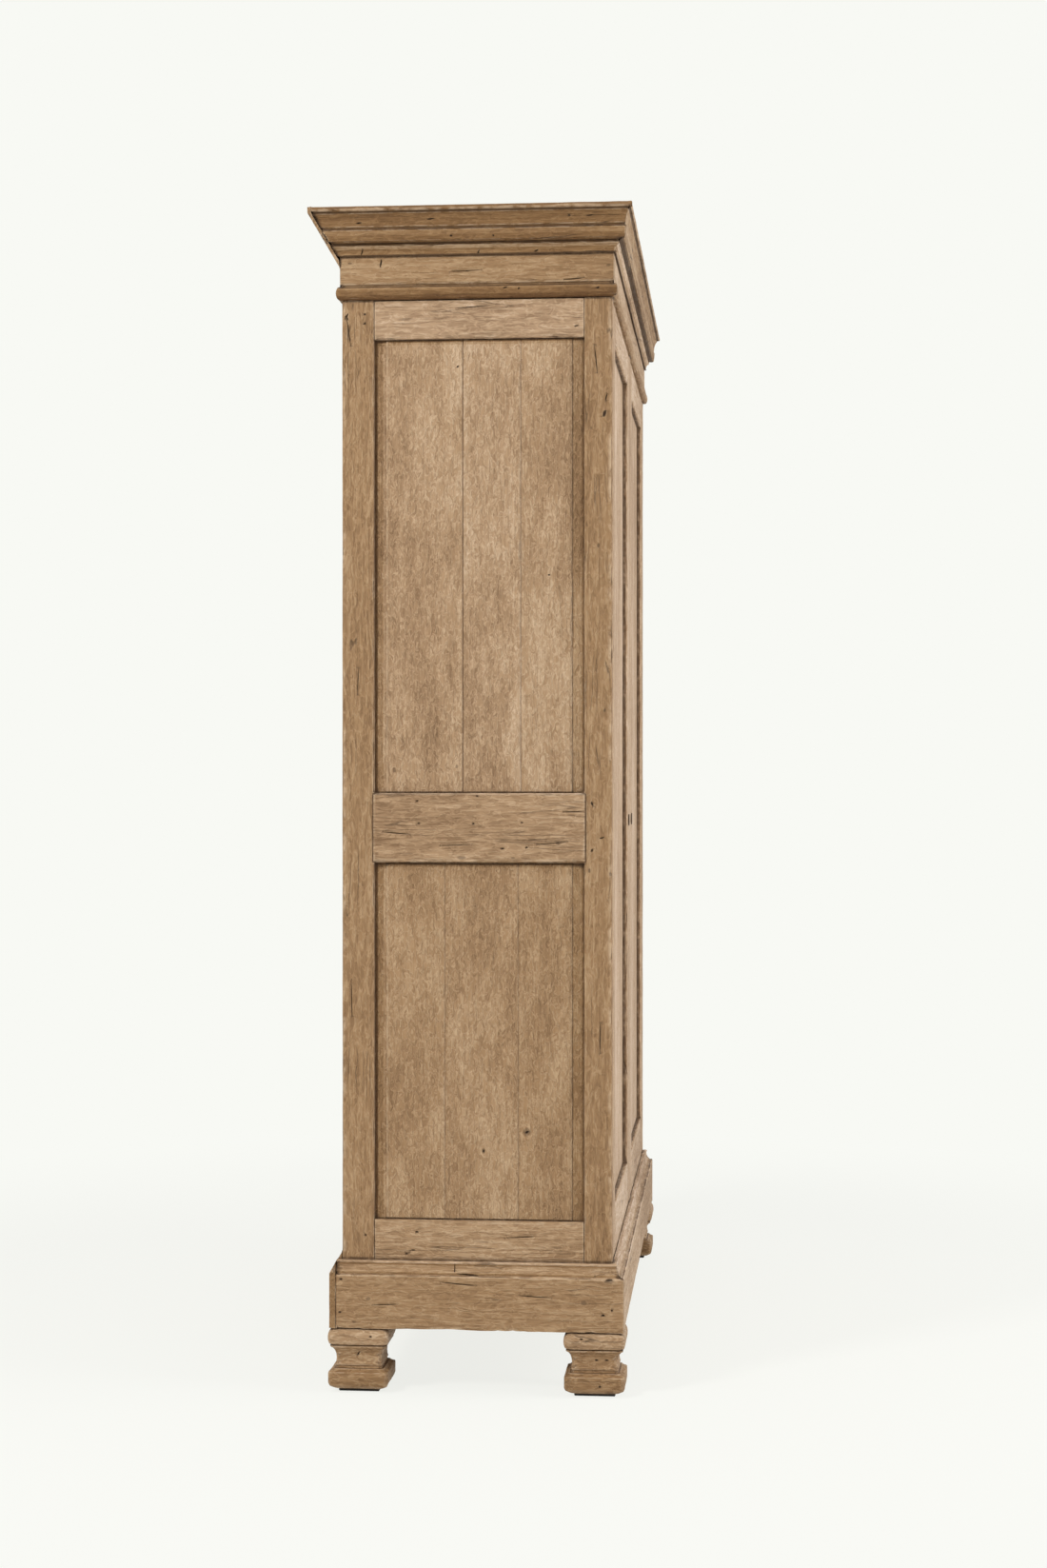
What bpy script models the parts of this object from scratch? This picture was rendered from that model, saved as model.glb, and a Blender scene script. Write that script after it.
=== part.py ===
"""Tall two-door cabinet of weathered oak, with frame-and-panel ends, panel doors, cornice and plinth.

Metres, +Z up. The front faces -Y, the origin lies on the floor under the middle of the cornice.
"""

import math

import bmesh
import bpy
from mathutils import Vector

for old in list(bpy.data.objects):
    bpy.data.objects.remove(old, do_unlink=True)

# Clearances
SEAT = 0.0003
RUNNING = 0.0001
DOOR_GAP = 0.0025

# Body, measured over the corner posts
BODY_WIDTH = 1.380
BODY_DEPTH = 0.504
POST_WIDTH = 0.038
FRONT_POST_DEPTH = 0.053
BACK_POST_DEPTH = 0.061
ARRIS = 0.0015

# Heights of the end, from the floor up
PAD_HEIGHT = 0.005
FOOT_HEIGHT = 0.114
PLINTH_BOARD_HEIGHT = 0.103
PLINTH_MOULD_HEIGHT = 0.023
BOTTOM_RAIL_HEIGHT = 0.075
LOWER_PANEL_HEIGHT = 0.663
MIDDLE_RAIL_HEIGHT = 0.130
UPPER_PANEL_HEIGHT = 0.840
TOP_RAIL_HEIGHT = 0.073
FRIEZE_HEIGHT = 0.079

# Frame joinery: stub tenons and panel tongues share one groove
GROOVE_WIDTH = 0.010
GROOVE_DEPTH = 0.012
GROOVE_SET = 0.009
RAIL_THICKNESS = 0.026
RAIL_SET = 0.0005
RAIL_BEHIND_PLINTH = 0.045
MIDDLE_RAIL_LAP = 0.004
MIDDLE_RAIL_PROUD = 0.0022

# Boarded end panels: shallow side margins and V joints between the boards
PANEL_MARGIN = 0.021
PANEL_FIELD_RISE = 0.0015
BOARD_JOINT_WIDTH = 0.003
BOARD_JOINT_DEPTH = 0.0015
UPPER_JOINTS = (0.165, 0.273)
LOWER_JOINTS = (0.131, 0.268)

# Frieze boards with the half-round neck moulding
FRIEZE_LET_IN = 0.015
FRIEZE_PROUD = 0.003
NECK_PROJECTION = 0.007
NECK_HEIGHT = 0.026

# Cornice, projections measured from the body
CORNICE_FRONT = 0.038
CORNICE_SIDE = 0.045
CORNICE_BACK = 0.058
CORNICE_BASE_STEP = 0.003
CORNICE_FILLET_STEP = 0.012
CORNICE_OVOLO_STEP = 0.021
CORNICE_OVOLO_BULGE = 0.007
CORNICE_COVE_STEP = 0.026
CORNICE_LIP_STEP = 0.002
CORNICE_BASE_COVE_HEIGHT = 0.017
CORNICE_FILLET_HEIGHT = 0.005
CORNICE_OVOLO_HEIGHT = 0.027
CORNICE_COVE_HEIGHT = 0.028
CORNICE_LIP_HEIGHT = 0.011
CORNICE_LIP_ROUND = 0.004
BACK_SLOPE_DROP = 0.019
BACK_SLOPE_THICKNESS = 0.008

# Plinth
PLINTH_OUT = 0.022
PLINTH_BEAD_OUT = 0.0095
PLINTH_BEAD_HEIGHT = 0.006
PLINTH_ARRIS = 0.003
PLINTH_COVE_REACH = 0.011
PLINTH_LAP = 0.0124
PLINTH_BACK_RISE = 0.015

# Feet: roll, waist and block on a square plan
FOOT_PROUD = 0.0035
FOOT_ROLL_HALF = 0.058
FOOT_ROLL_HEIGHT = 0.034
FOOT_ROLL_BULGE = 0.009
FOOT_WAIST_HALF = 0.043
FOOT_BLOCK_HALF = 0.057
FOOT_BLOCK_HEIGHT = 0.034
FOOT_CHAMFER = 0.012
FOOT_CHAMFER_HOLLOW = 0.002
FOOT_CORNER = 0.007
SPIGOT_RADIUS = 0.009
SPIGOT_LENGTH = 0.030
PAD_HALF = 0.038

# Inside boards
FLOOR_THICKNESS = 0.025
SHELF_THICKNESS = 0.022
SHELF_PITCH = 0.440
SHELF_COUNT = 3
SHELF_FRONT_SET = 0.036
DADO_DEPTH = 0.008
TOP_THICKNESS = 0.014
TOP_SET = 0.002

# Back frame
MUNTIN_WIDTH = 0.060
MUNTIN_THICKNESS = 0.022
MUNTIN_SET = 0.004
MUNTIN_TENON_SET = 0.002
BACK_GROOVE_SET = 0.010

# Doors and the mullion between them
MULLION_WIDTH = 0.055
DOOR_THICKNESS = 0.024
DOOR_STILE_WIDTH = 0.060
DOOR_TOP_RAIL = 0.067
DOOR_BOTTOM_RAIL = 0.088
DOOR_RECESS = 0.010
DOOR_GROOVE_WIDTH = 0.009
UPRIGHT_TENON_LENGTH = 0.012
UPRIGHT_TENON_SET = 0.004
UPRIGHT_TENON_THICKNESS = 0.008
UPRIGHT_TENON_WIDTH = 0.036

# Pivots and locks
PIVOT_FROM_EDGE = 0.011
PIVOT_FROM_FACE = 0.006
PIVOT_RADIUS = 0.003
PIVOT_REACH = 0.014
PIVOT_COLLAR_RADIUS = 0.0055
LOCK_HEIGHT = 1.050
LOCK_BARREL_RADIUS = 0.007
LOCK_ROSE_RADIUS = 0.012
LOCK_ROSE_THICKNESS = 0.0018
LOCK_SLOT_WIDTH = 0.002
LOCK_SLOT_HEIGHT = 0.009
LOCK_SLOT_DEPTH = 0.004
CAM_THICKNESS = 0.004
CAM_WIDTH = 0.014
CAM_REACH_PAST_EDGE = 0.014
CAM_ARRIS = 0.0005

# Levels and planes worked out from the sizes above
Z_PLINTH = PAD_HEIGHT + FOOT_HEIGHT
Z_FLOOR = Z_PLINTH + PLINTH_BOARD_HEIGHT + PLINTH_MOULD_HEIGHT
Z_BOTTOM_RAIL = Z_FLOOR + BOTTOM_RAIL_HEIGHT
Z_MIDDLE_RAIL = Z_BOTTOM_RAIL + LOWER_PANEL_HEIGHT
Z_UPPER_PANEL = Z_MIDDLE_RAIL + MIDDLE_RAIL_HEIGHT
Z_TOP_RAIL = Z_UPPER_PANEL + UPPER_PANEL_HEIGHT
Z_NECK = Z_TOP_RAIL + TOP_RAIL_HEIGHT
Z_CORNICE = Z_NECK + FRIEZE_HEIGHT
CORNICE_BELOW_LIP = (
    CORNICE_BASE_COVE_HEIGHT + CORNICE_FILLET_HEIGHT + CORNICE_OVOLO_HEIGHT + CORNICE_COVE_HEIGHT
)
Z_LIP = Z_CORNICE + CORNICE_BELOW_LIP
Z_TOP = Z_LIP + CORNICE_LIP_HEIGHT
Z_TOP_BOARD = Z_TOP - TOP_SET - TOP_THICKNESS
Z_POST_TOP = Z_TOP_BOARD - SEAT
Z_BACK_SLOPE = Z_CORNICE - BACK_SLOPE_DROP

HALF_WIDTH = BODY_WIDTH / 2
BODY_SHIFT = (CORNICE_FRONT - CORNICE_BACK) / 2
FRONT = BODY_SHIFT - BODY_DEPTH / 2
BACK = BODY_SHIFT + BODY_DEPTH / 2
POST_INNER = HALF_WIDTH - POST_WIDTH
RAIL_FRONT = FRONT + FRONT_POST_DEPTH
RAIL_BACK = BACK - BACK_POST_DEPTH
SHELF_FRONT = FRONT + SHELF_FRONT_SET
SHELF_BACK = BACK - MUNTIN_SET - MUNTIN_THICKNESS - SEAT
DOOR_LOW = Z_FLOOR + DOOR_GAP
DOOR_HIGH = Z_NECK - DOOR_GAP
PIVOT_X = POST_INNER - DOOR_GAP - PIVOT_FROM_EDGE
PIVOT_Y = FRONT + PIVOT_FROM_FACE
LOCK_X = MULLION_WIDTH / 2 + DOOR_GAP + DOOR_STILE_WIDTH / 2
CORNICE_BASE = FRIEZE_PROUD + SEAT
BACK_SLOPE = (CORNICE_BACK - CORNICE_BASE) / (Z_LIP - Z_BACK_SLOPE)

# How far a cutter reaches past what it cuts, and the angle in degrees from which an edge stays sharp
BEYOND = 0.02
SHARP_ANGLE = 28

SIDES = (("left", -1), ("right", 1))


def material(name, colour, roughness, metallic=0.0):
    made = bpy.data.materials.new(name)
    made.use_nodes = True
    shader = made.node_tree.nodes["Principled BSDF"]
    shader.inputs["Base Color"].default_value = (*colour, 1.0)
    shader.inputs["Roughness"].default_value = roughness
    shader.inputs["Metallic"].default_value = metallic
    return made


OAK_FRAME = material("oak_frame", (0.36, 0.22, 0.115), 0.7)
OAK_PANEL = material("oak_panel", (0.43, 0.28, 0.165), 0.72)
OAK_MOULDING = material("oak_moulding", (0.28, 0.165, 0.085), 0.68)
OAK_INSIDE = material("oak_inside", (0.38, 0.25, 0.14), 0.75)
IRON = material("dark_iron", (0.09, 0.08, 0.07), 0.45, 1.0)
FELT = material("dark_felt", (0.03, 0.025, 0.02), 0.95)


def new_object(name, shape, finish):
    """Turns a bmesh into a named object in the scene."""
    bmesh.ops.recalc_face_normals(shape, faces=shape.faces[:])
    mesh = bpy.data.meshes.new(name)
    shape.to_mesh(mesh)
    shape.free()
    mesh.materials.append(finish)
    made = bpy.data.objects.new(name, mesh)
    bpy.context.scene.collection.objects.link(made)
    return made


def board(name, one, other, finish, arris=ARRIS):
    """A squared board between two opposite corners, with its edges eased."""
    one = Vector(one)
    other = Vector(other)
    shape = bmesh.new()
    bmesh.ops.create_cube(shape, size=1.0)
    size = other - one
    bmesh.ops.scale(shape, vec=[abs(side) for side in size], verts=shape.verts)
    if arris:
        bmesh.ops.bevel(shape, geom=shape.edges[:], offset=arris, segments=1, affect="EDGES")
    made = new_object(name, shape, finish)
    made.location = (one + other) / 2
    return made


def rod(name, centre, radius, low, high, finish, axis="Z", segments=24):
    """A round bar about an axis through centre, from low to high along that axis."""
    shape = bmesh.new()
    bmesh.ops.create_cone(
        shape, cap_ends=True, segments=segments, radius1=radius, radius2=radius, depth=high - low
    )
    made = new_object(name, shape, finish)
    made.location = centre
    if axis == "Y":
        made.rotation_euler.x = math.pi / 2
        made.location.y = (low + high) / 2
    else:
        made.location.z = (low + high) / 2
    return made


def loft(name, rings, finish):
    """A closed solid through matching rings of points, with a cap at each end."""
    shape = bmesh.new()
    loops = [[shape.verts.new(point) for point in ring] for ring in rings]
    count = len(rings[0])
    for near, far in zip(loops, loops[1:]):
        for index in range(count):
            after = (index + 1) % count
            shape.faces.new((near[index], near[after], far[after], far[index]))
    shape.faces.new(loops[0])
    shape.faces.new(loops[-1])
    return new_object(name, shape, finish)


def combine(target, tool, operation):
    """Applies a Boolean with the tool, and removes the tool."""
    bpy.context.view_layer.update()
    modifier = target.modifiers.new(operation.lower(), "BOOLEAN")
    modifier.operation = operation
    modifier.solver = "EXACT"
    modifier.object = tool
    graph = bpy.context.evaluated_depsgraph_get()
    finished = bpy.data.meshes.new_from_object(target.evaluated_get(graph))
    target.modifiers.clear()
    target.data = finished
    bpy.data.objects.remove(tool, do_unlink=True)


def cut_box(target, one, other):
    combine(target, board("cutter", one, other, target.data.materials[0], 0.0), "DIFFERENCE")


def cut_rod(target, centre, radius, low, high, axis="Z"):
    tool = rod("cutter", centre, radius, low, high, target.data.materials[0], axis)
    combine(target, tool, "DIFFERENCE")


def arc(centre, radius_out, radius_up, start, end, steps):
    """Points of an elliptical arc in the plane of a profile, angles in degrees."""
    points = []
    for step in range(steps + 1):
        angle = math.radians(start + (end - start) * step / steps)
        points.append((centre[0] + radius_out * math.cos(angle), centre[1] + radius_up * math.sin(angle)))
    return points


def hang(piece, empty):
    """Parents a piece to the empty on its joint's axis, and leaves it where it is."""
    bpy.context.view_layer.update()
    piece.parent = empty
    piece.matrix_parent_inverse = empty.matrix_world.inverted()


def axis_empty(name, place, parent=None):
    empty = bpy.data.objects.new(name, None)
    empty.location = place
    bpy.context.scene.collection.objects.link(empty)
    if parent:
        hang(empty, parent)
    return empty


def shelf_levels():
    return [Z_FLOOR + SHELF_PITCH * (index + 1) for index in range(SHELF_COUNT)]


def foot_centre(side, face, outward):
    """Plan centre of a foot, whose roll stands a little proud of the plinth."""
    reach = PLINTH_OUT + FOOT_PROUD - FOOT_ROLL_HALF
    return side * (HALF_WIDTH + reach), face + outward * reach


def post(name, side, face, inward, depth):
    """Corner post: let in for the frieze, grooved for the end frame, housed for floor and shelves."""
    outer = side * HALF_WIDTH
    inner_face = face + inward * depth
    made = board(
        name,
        (outer, face, Z_PLINTH + SEAT),
        (side * POST_INNER, inner_face, Z_POST_TOP),
        OAK_FRAME,
    )
    rebate = FRIEZE_LET_IN + SEAT
    top = Z_POST_TOP + BEYOND
    far = side * (POST_INNER - BEYOND)
    cut_box(
        made,
        (outer + side * BEYOND, face - inward * BEYOND, Z_NECK),
        (outer - side * rebate, inner_face + inward * BEYOND, top),
    )
    cut_box(made, (outer + side * BEYOND, face - inward * BEYOND, Z_NECK), (far, face + inward * rebate, top))
    groove = outer - side * GROOVE_SET
    cut_box(
        made,
        (groove, inner_face - inward * GROOVE_DEPTH, Z_PLINTH - BEYOND),
        (groove - side * GROOVE_WIDTH, inner_face + inward * BEYOND, Z_NECK + BEYOND),
    )
    house = side * (POST_INNER + DADO_DEPTH)
    cut_box(
        made,
        (house, face - inward * BEYOND, Z_FLOOR - FLOOR_THICKNESS - SEAT),
        (far, inner_face + inward * BEYOND, Z_FLOOR + SEAT),
    )
    shelf_edge = SHELF_FRONT - SEAT if inward > 0 else SHELF_BACK + SEAT
    for level in shelf_levels():
        cut_box(
            made,
            (house, shelf_edge, level - SEAT),
            (far, inner_face + inward * BEYOND, level + SHELF_THICKNESS + SEAT),
        )
    middle_x = (outer + side * POST_INNER) / 2
    middle_y = (face + inner_face) / 2
    cut_rod(
        made,
        (middle_x, middle_y, 0.0),
        SPIGOT_RADIUS + SEAT,
        Z_PLINTH - BEYOND,
        Z_PLINTH + SPIGOT_LENGTH + 2 * SEAT,
    )
    return made


def back_groove(back_post, side):
    """Groove in a back post for the edge of the back panel."""
    cut_box(
        back_post,
        (side * (POST_INNER + GROOVE_DEPTH), BACK - BACK_GROOVE_SET, Z_FLOOR - FLOOR_THICKNESS / 2),
        (side * (POST_INNER - BEYOND), BACK - BACK_GROOVE_SET - GROOVE_WIDTH, Z_NECK + BEYOND),
    )


def end_rail(name, side, low, high, groove_below, groove_above, lapped=False):
    """Rail of an end frame: stub tenons, a groove for each panel, and a face that may lap the posts."""
    outer = side * HALF_WIDTH
    tenon = GROOVE_DEPTH - SEAT
    first = RAIL_FRONT - tenon
    last = RAIL_BACK + tenon
    face = outer + side * MIDDLE_RAIL_PROUD if lapped else outer - side * RAIL_SET
    inside = outer - side * (RAIL_SET + RAIL_THICKNESS)
    made = board(name, (face, first, low), (inside, last, high), OAK_FRAME)
    groove = outer - side * GROOVE_SET
    groove_end = groove - side * GROOVE_WIDTH
    shoulder_face = outer + side * (SEAT if lapped else BEYOND)
    for shoulder, outward in ((RAIL_FRONT + SEAT, -1), (RAIL_BACK - SEAT, 1)):
        past = shoulder + outward * (tenon + BEYOND)
        cut_box(
            made,
            (shoulder_face, shoulder, low - BEYOND),
            (groove - side * SEAT, past, high + BEYOND),
        )
        if lapped:
            cut_box(
                made,
                (outer + side * BEYOND, shoulder + outward * MIDDLE_RAIL_LAP, low - BEYOND),
                (outer, past, high + BEYOND),
            )
        cut_box(
            made,
            (groove_end + side * SEAT, shoulder, low - BEYOND),
            (inside - side * BEYOND, past, high + BEYOND),
        )
    if groove_below:
        cut_box(
            made, (groove, first - BEYOND, low - BEYOND), (groove_end, last + BEYOND, low + GROOVE_DEPTH)
        )
    if groove_above:
        cut_box(
            made, (groove, first - BEYOND, high - GROOVE_DEPTH), (groove_end, last + BEYOND, high + BEYOND)
        )


def end_panel(name, side, low, high, joints):
    """Boarded panel: one cross-section with margins and V joints, run upright, with tongues all round."""
    outer = side * HALF_WIDTH
    margin_set = GROOVE_SET + SEAT
    field_set = margin_set - PANEL_FIELD_RISE
    back_set = GROOVE_SET + GROOVE_WIDTH - SEAT
    tongue = GROOVE_DEPTH - SEAT
    section = [(RAIL_BACK + tongue, back_set), (RAIL_BACK + tongue, margin_set)]
    section += [(RAIL_BACK - PANEL_MARGIN, margin_set), (RAIL_BACK - PANEL_MARGIN, field_set)]
    for joint in joints:
        middle = RAIL_BACK - joint
        section += [
            (middle + BOARD_JOINT_WIDTH / 2, field_set),
            (middle, field_set + BOARD_JOINT_DEPTH),
            (middle - BOARD_JOINT_WIDTH / 2, field_set),
        ]
    section += [(RAIL_FRONT + PANEL_MARGIN, field_set), (RAIL_FRONT + PANEL_MARGIN, margin_set)]
    section += [(RAIL_FRONT - tongue, margin_set), (RAIL_FRONT - tongue, back_set)]
    rings = [
        [(outer - side * depth, along, level) for along, depth in section]
        for level in (low - tongue, high + tongue)
    ]
    made = loft(name, rings, OAK_PANEL)
    for visible, outward in ((low + SEAT, -1), (high - SEAT, 1)):
        cut_box(
            made,
            (outer, RAIL_FRONT - BEYOND, visible),
            (outer - side * margin_set, RAIL_BACK + BEYOND, visible + outward * (tongue + BEYOND)),
        )


def end_frame(label, side):
    """One end: two posts, three rails and two boarded panels."""
    post(f"{label}_front_post", side, FRONT, 1, FRONT_POST_DEPTH)
    back_post = post(f"{label}_back_post", side, BACK, -1, BACK_POST_DEPTH)
    back_groove(back_post, side)
    end_rail(f"{label}_bottom_rail", side, Z_FLOOR - RAIL_BEHIND_PLINTH, Z_BOTTOM_RAIL, False, True)
    end_rail(f"{label}_middle_rail", side, Z_MIDDLE_RAIL, Z_UPPER_PANEL, True, True, lapped=True)
    end_rail(f"{label}_top_rail", side, Z_TOP_RAIL, Z_NECK, True, False)
    end_panel(f"{label}_lower_panel", side, Z_BOTTOM_RAIL, Z_MIDDLE_RAIL, LOWER_JOINTS)
    end_panel(f"{label}_upper_panel", side, Z_UPPER_PANEL, Z_TOP_RAIL, UPPER_JOINTS)


def corner(side, face, outward, out_side, out_face, level):
    """A point of a moulding on the mitre of a body corner."""
    return (side * (HALF_WIDTH + out_side), face + outward * out_face, level)


def front_length(name, profile, finish, ratio=1.0, base=0.0):
    """A moulded length across the front, mitred at both ends."""
    rings = []
    for side in (-1, 1):
        ring = []
        for out, level in profile:
            x, y, z = corner(side, FRONT, -1, out, base + (out - base) * ratio, level)
            ring.append((x - side * SEAT, y, z))
        rings.append(ring)
    return loft(name, rings, finish)


def side_length(name, profile, side, finish, back_end, ratio=1.0, base=0.0):
    """A moulded length along an end, mitred in front. back_end gives its back y for a projection."""
    front_ring = []
    back_ring = []
    for out, level in profile:
        x, y, z = corner(side, FRONT, -1, out, base + (out - base) * ratio, level)
        front_ring.append((x, y + SEAT, z))
        back_ring.append((x, back_end(out), z))
    return loft(name, (front_ring, back_ring), finish)


def frieze():
    """Four mitred boards let into the posts, each with the half-round neck moulding on its lower edge."""
    low = Z_NECK + SEAT
    high = Z_POST_TOP
    neck = arc((FRIEZE_PROUD, low + NECK_HEIGHT / 2), NECK_PROJECTION, NECK_HEIGHT / 2, -90, 90, 8)
    profile = [(-FRIEZE_LET_IN, low), *neck, (FRIEZE_PROUD, high), (-FRIEZE_LET_IN, high)]
    front = front_length("frieze_front", profile, OAK_FRAME)
    for label, side in SIDES:
        side_length(f"frieze_{label}", profile, side, OAK_FRAME, lambda out: BACK + out - SEAT)
    rings = [
        [(side * (HALF_WIDTH + out - SEAT), BACK + out, level) for out, level in profile]
        for side in (-1, 1)
    ]
    back = loft("frieze_back", rings, OAK_FRAME)
    return front, back


def cornice_profile():
    """Base cove, fillet, ovolo, cove and rounded lip, from the frieze face out."""
    top_out = CORNICE_SIDE
    fillet = Z_CORNICE + CORNICE_BASE_COVE_HEIGHT
    ovolo = fillet + CORNICE_FILLET_HEIGHT
    cove = ovolo + CORNICE_OVOLO_HEIGHT
    fillet_out = FRIEZE_PROUD + CORNICE_FILLET_STEP
    ovolo_out = FRIEZE_PROUD + CORNICE_OVOLO_STEP
    cove_out = FRIEZE_PROUD + CORNICE_COVE_STEP
    lip_out = top_out - CORNICE_LIP_STEP
    profile = [(CORNICE_BASE, Z_CORNICE)]
    profile += arc(
        (fillet_out, Z_CORNICE),
        fillet_out - FRIEZE_PROUD - CORNICE_BASE_STEP,
        CORNICE_BASE_COVE_HEIGHT,
        180,
        90,
        5,
    )
    profile += [(fillet_out, ovolo)]
    profile += arc((ovolo_out, cove), CORNICE_OVOLO_BULGE, CORNICE_OVOLO_HEIGHT, -90, 0, 6)
    profile += arc((lip_out, cove), lip_out - cove_out, CORNICE_COVE_HEIGHT, 180, 90, 7)
    profile += [(top_out, Z_LIP)]
    rounding = (top_out - CORNICE_LIP_ROUND, Z_TOP - CORNICE_LIP_ROUND)
    profile += arc(rounding, CORNICE_LIP_ROUND, CORNICE_LIP_ROUND, 0, 90, 3)
    profile += [(CORNICE_BASE, Z_TOP)]
    return profile


def back_slope_inside(level):
    """Distance from the body to the inner face of the sloped back board."""
    return CORNICE_BACK - BACK_SLOPE_THICKNESS - max(0.0, Z_LIP - level) * BACK_SLOPE


def cornice():
    """Three moulded lengths, and a plain board that closes the back at the same slope."""
    profile = cornice_profile()
    ratio = (CORNICE_FRONT - CORNICE_BASE) / (CORNICE_SIDE - CORNICE_BASE)
    front_length("cornice_front", profile, OAK_MOULDING, ratio, CORNICE_BASE)
    inside = back_slope_inside(Z_TOP)
    outline = [
        (CORNICE_BASE, Z_BACK_SLOPE),
        (CORNICE_BACK, Z_LIP),
        (CORNICE_BACK, Z_TOP),
        (inside, Z_TOP),
        (inside, Z_LIP),
        (CORNICE_BASE, Z_BACK_SLOPE + BACK_SLOPE_THICKNESS / BACK_SLOPE),
    ]
    rings = []
    for side in (-1, 1):
        ring = []
        for out, level in outline:
            share = min(1.0, (level - Z_BACK_SLOPE) / (Z_LIP - Z_BACK_SLOPE))
            end = HALF_WIDTH + CORNICE_BASE + (CORNICE_SIDE - CORNICE_BASE) * share
            ring.append((side * end, BACK + out, level))
        rings.append(ring)
    loft("cornice_back", rings, OAK_MOULDING)
    for label, side in SIDES:
        run_out = BACK + CORNICE_BACK + BEYOND
        made = side_length(
            f"cornice_{label}", profile, side, OAK_MOULDING, lambda out: run_out, ratio, CORNICE_BASE
        )
        below = Z_BACK_SLOPE - BEYOND
        above = Z_TOP + BEYOND
        behind = [
            (back_slope_inside(below) - SEAT, below),
            (inside - SEAT, Z_LIP),
            (inside - SEAT, above),
            (CORNICE_BACK + 2 * BEYOND, above),
            (CORNICE_BACK + 2 * BEYOND, below),
        ]
        ends = (side * (HALF_WIDTH - BEYOND), side * (HALF_WIDTH + CORNICE_SIDE + BEYOND))
        tool = loft(
            "cutter", [[(x, BACK + out, level) for out, level in behind] for x in ends], OAK_MOULDING
        )
        combine(made, tool, "DIFFERENCE")


def plinth():
    """Moulded boards on the front and ends, and a plain bevelled board lapped over the back."""
    low = Z_PLINTH + SEAT
    board_top = Z_PLINTH + PLINTH_BOARD_HEIGHT
    bead_low = Z_FLOOR - PLINTH_BEAD_HEIGHT
    profile = [(SEAT, low), (PLINTH_OUT, low), (PLINTH_OUT, board_top)]
    profile += arc(
        (PLINTH_OUT - PLINTH_ARRIS, bead_low),
        PLINTH_COVE_REACH,
        bead_low - board_top,
        -90,
        -180,
        5,
    )
    profile += arc(
        (PLINTH_BEAD_OUT - PLINTH_BEAD_HEIGHT / 2, Z_FLOOR - PLINTH_BEAD_HEIGHT / 2),
        PLINTH_BEAD_HEIGHT / 2,
        PLINTH_BEAD_HEIGHT / 2,
        -60,
        90,
        5,
    )
    profile += [(SEAT, Z_FLOOR)]
    front_length("plinth_front", profile, OAK_FRAME)
    lap_start = BACK + PLINTH_OUT - PLINTH_LAP
    for label, side in SIDES:
        side_length(f"plinth_{label}", profile, side, OAK_FRAME, lambda out: lap_start - SEAT)
    outline = [
        (SEAT, low),
        (PLINTH_OUT, low),
        (PLINTH_OUT, board_top),
        (SEAT, Z_FLOOR + PLINTH_BACK_RISE),
    ]
    end = HALF_WIDTH + PLINTH_OUT
    rings = [[(x, BACK + out, level) for out, level in outline] for x in (-end, end)]
    back = loft("plinth_back", rings, OAK_FRAME)
    for _, side in SIDES:
        cut_box(
            back,
            (side * HALF_WIDTH, BACK - BEYOND, Z_PLINTH - BEYOND),
            (side * (end + BEYOND), lap_start, Z_FLOOR + PLINTH_BACK_RISE + BEYOND),
        )


def foot_profile():
    """Half width of a foot at each level, from the pad up: chamfer, block, waist and roll."""
    low = PAD_HEIGHT + SEAT
    block_top = PAD_HEIGHT + FOOT_BLOCK_HEIGHT
    roll_low = Z_PLINTH - FOOT_ROLL_HEIGHT
    waist_height = roll_low - block_top
    waist_in = FOOT_BLOCK_HALF - FOOT_WAIST_HALF
    profile = [
        (FOOT_BLOCK_HALF - FOOT_CHAMFER, low),
        (FOOT_BLOCK_HALF - FOOT_CHAMFER_HOLLOW, low + FOOT_CHAMFER / 2),
        (FOOT_BLOCK_HALF, low + FOOT_CHAMFER),
        (FOOT_BLOCK_HALF, block_top),
    ]
    waist = (FOOT_BLOCK_HALF, block_top + waist_height / 2)
    profile += arc(waist, waist_in, waist_height / 2, -100, -260, 8)
    roll = (FOOT_ROLL_HALF - FOOT_ROLL_BULGE, roll_low + FOOT_ROLL_HEIGHT / 2)
    profile += arc(roll, FOOT_ROLL_BULGE, FOOT_ROLL_HEIGHT / 2, -60, 90, 7)
    return profile


def square_ring(centre, half, level):
    """A square of the given half width with rounded corners."""
    ring = []
    for turn in range(4):
        way = math.radians(45 + 90 * turn)
        pivot = (half - FOOT_CORNER) * math.sqrt(2)
        for step in (-45, 0, 45):
            angle = way + math.radians(step)
            ring.append((
                centre[0] + pivot * math.cos(way) + FOOT_CORNER * math.cos(angle),
                centre[1] + pivot * math.sin(way) + FOOT_CORNER * math.sin(angle),
                level,
            ))
    return ring


def foot(label, side, face, outward, depth):
    centre = foot_centre(side, face, outward)
    rings = [square_ring(centre, half, level) for half, level in foot_profile()]
    made = loft(f"{label}_foot", rings, OAK_FRAME)
    spigot = rod(
        "spigot",
        (side * (HALF_WIDTH - POST_WIDTH / 2), face - outward * depth / 2, 0.0),
        SPIGOT_RADIUS,
        Z_PLINTH - BEYOND,
        Z_PLINTH + SPIGOT_LENGTH,
        OAK_FRAME,
    )
    combine(made, spigot, "UNION")
    board(
        f"{label}_pad",
        (centre[0] - PAD_HALF, centre[1] - PAD_HALF, 0.0),
        (centre[0] + PAD_HALF, centre[1] + PAD_HALF, PAD_HEIGHT),
        FELT,
    )


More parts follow.
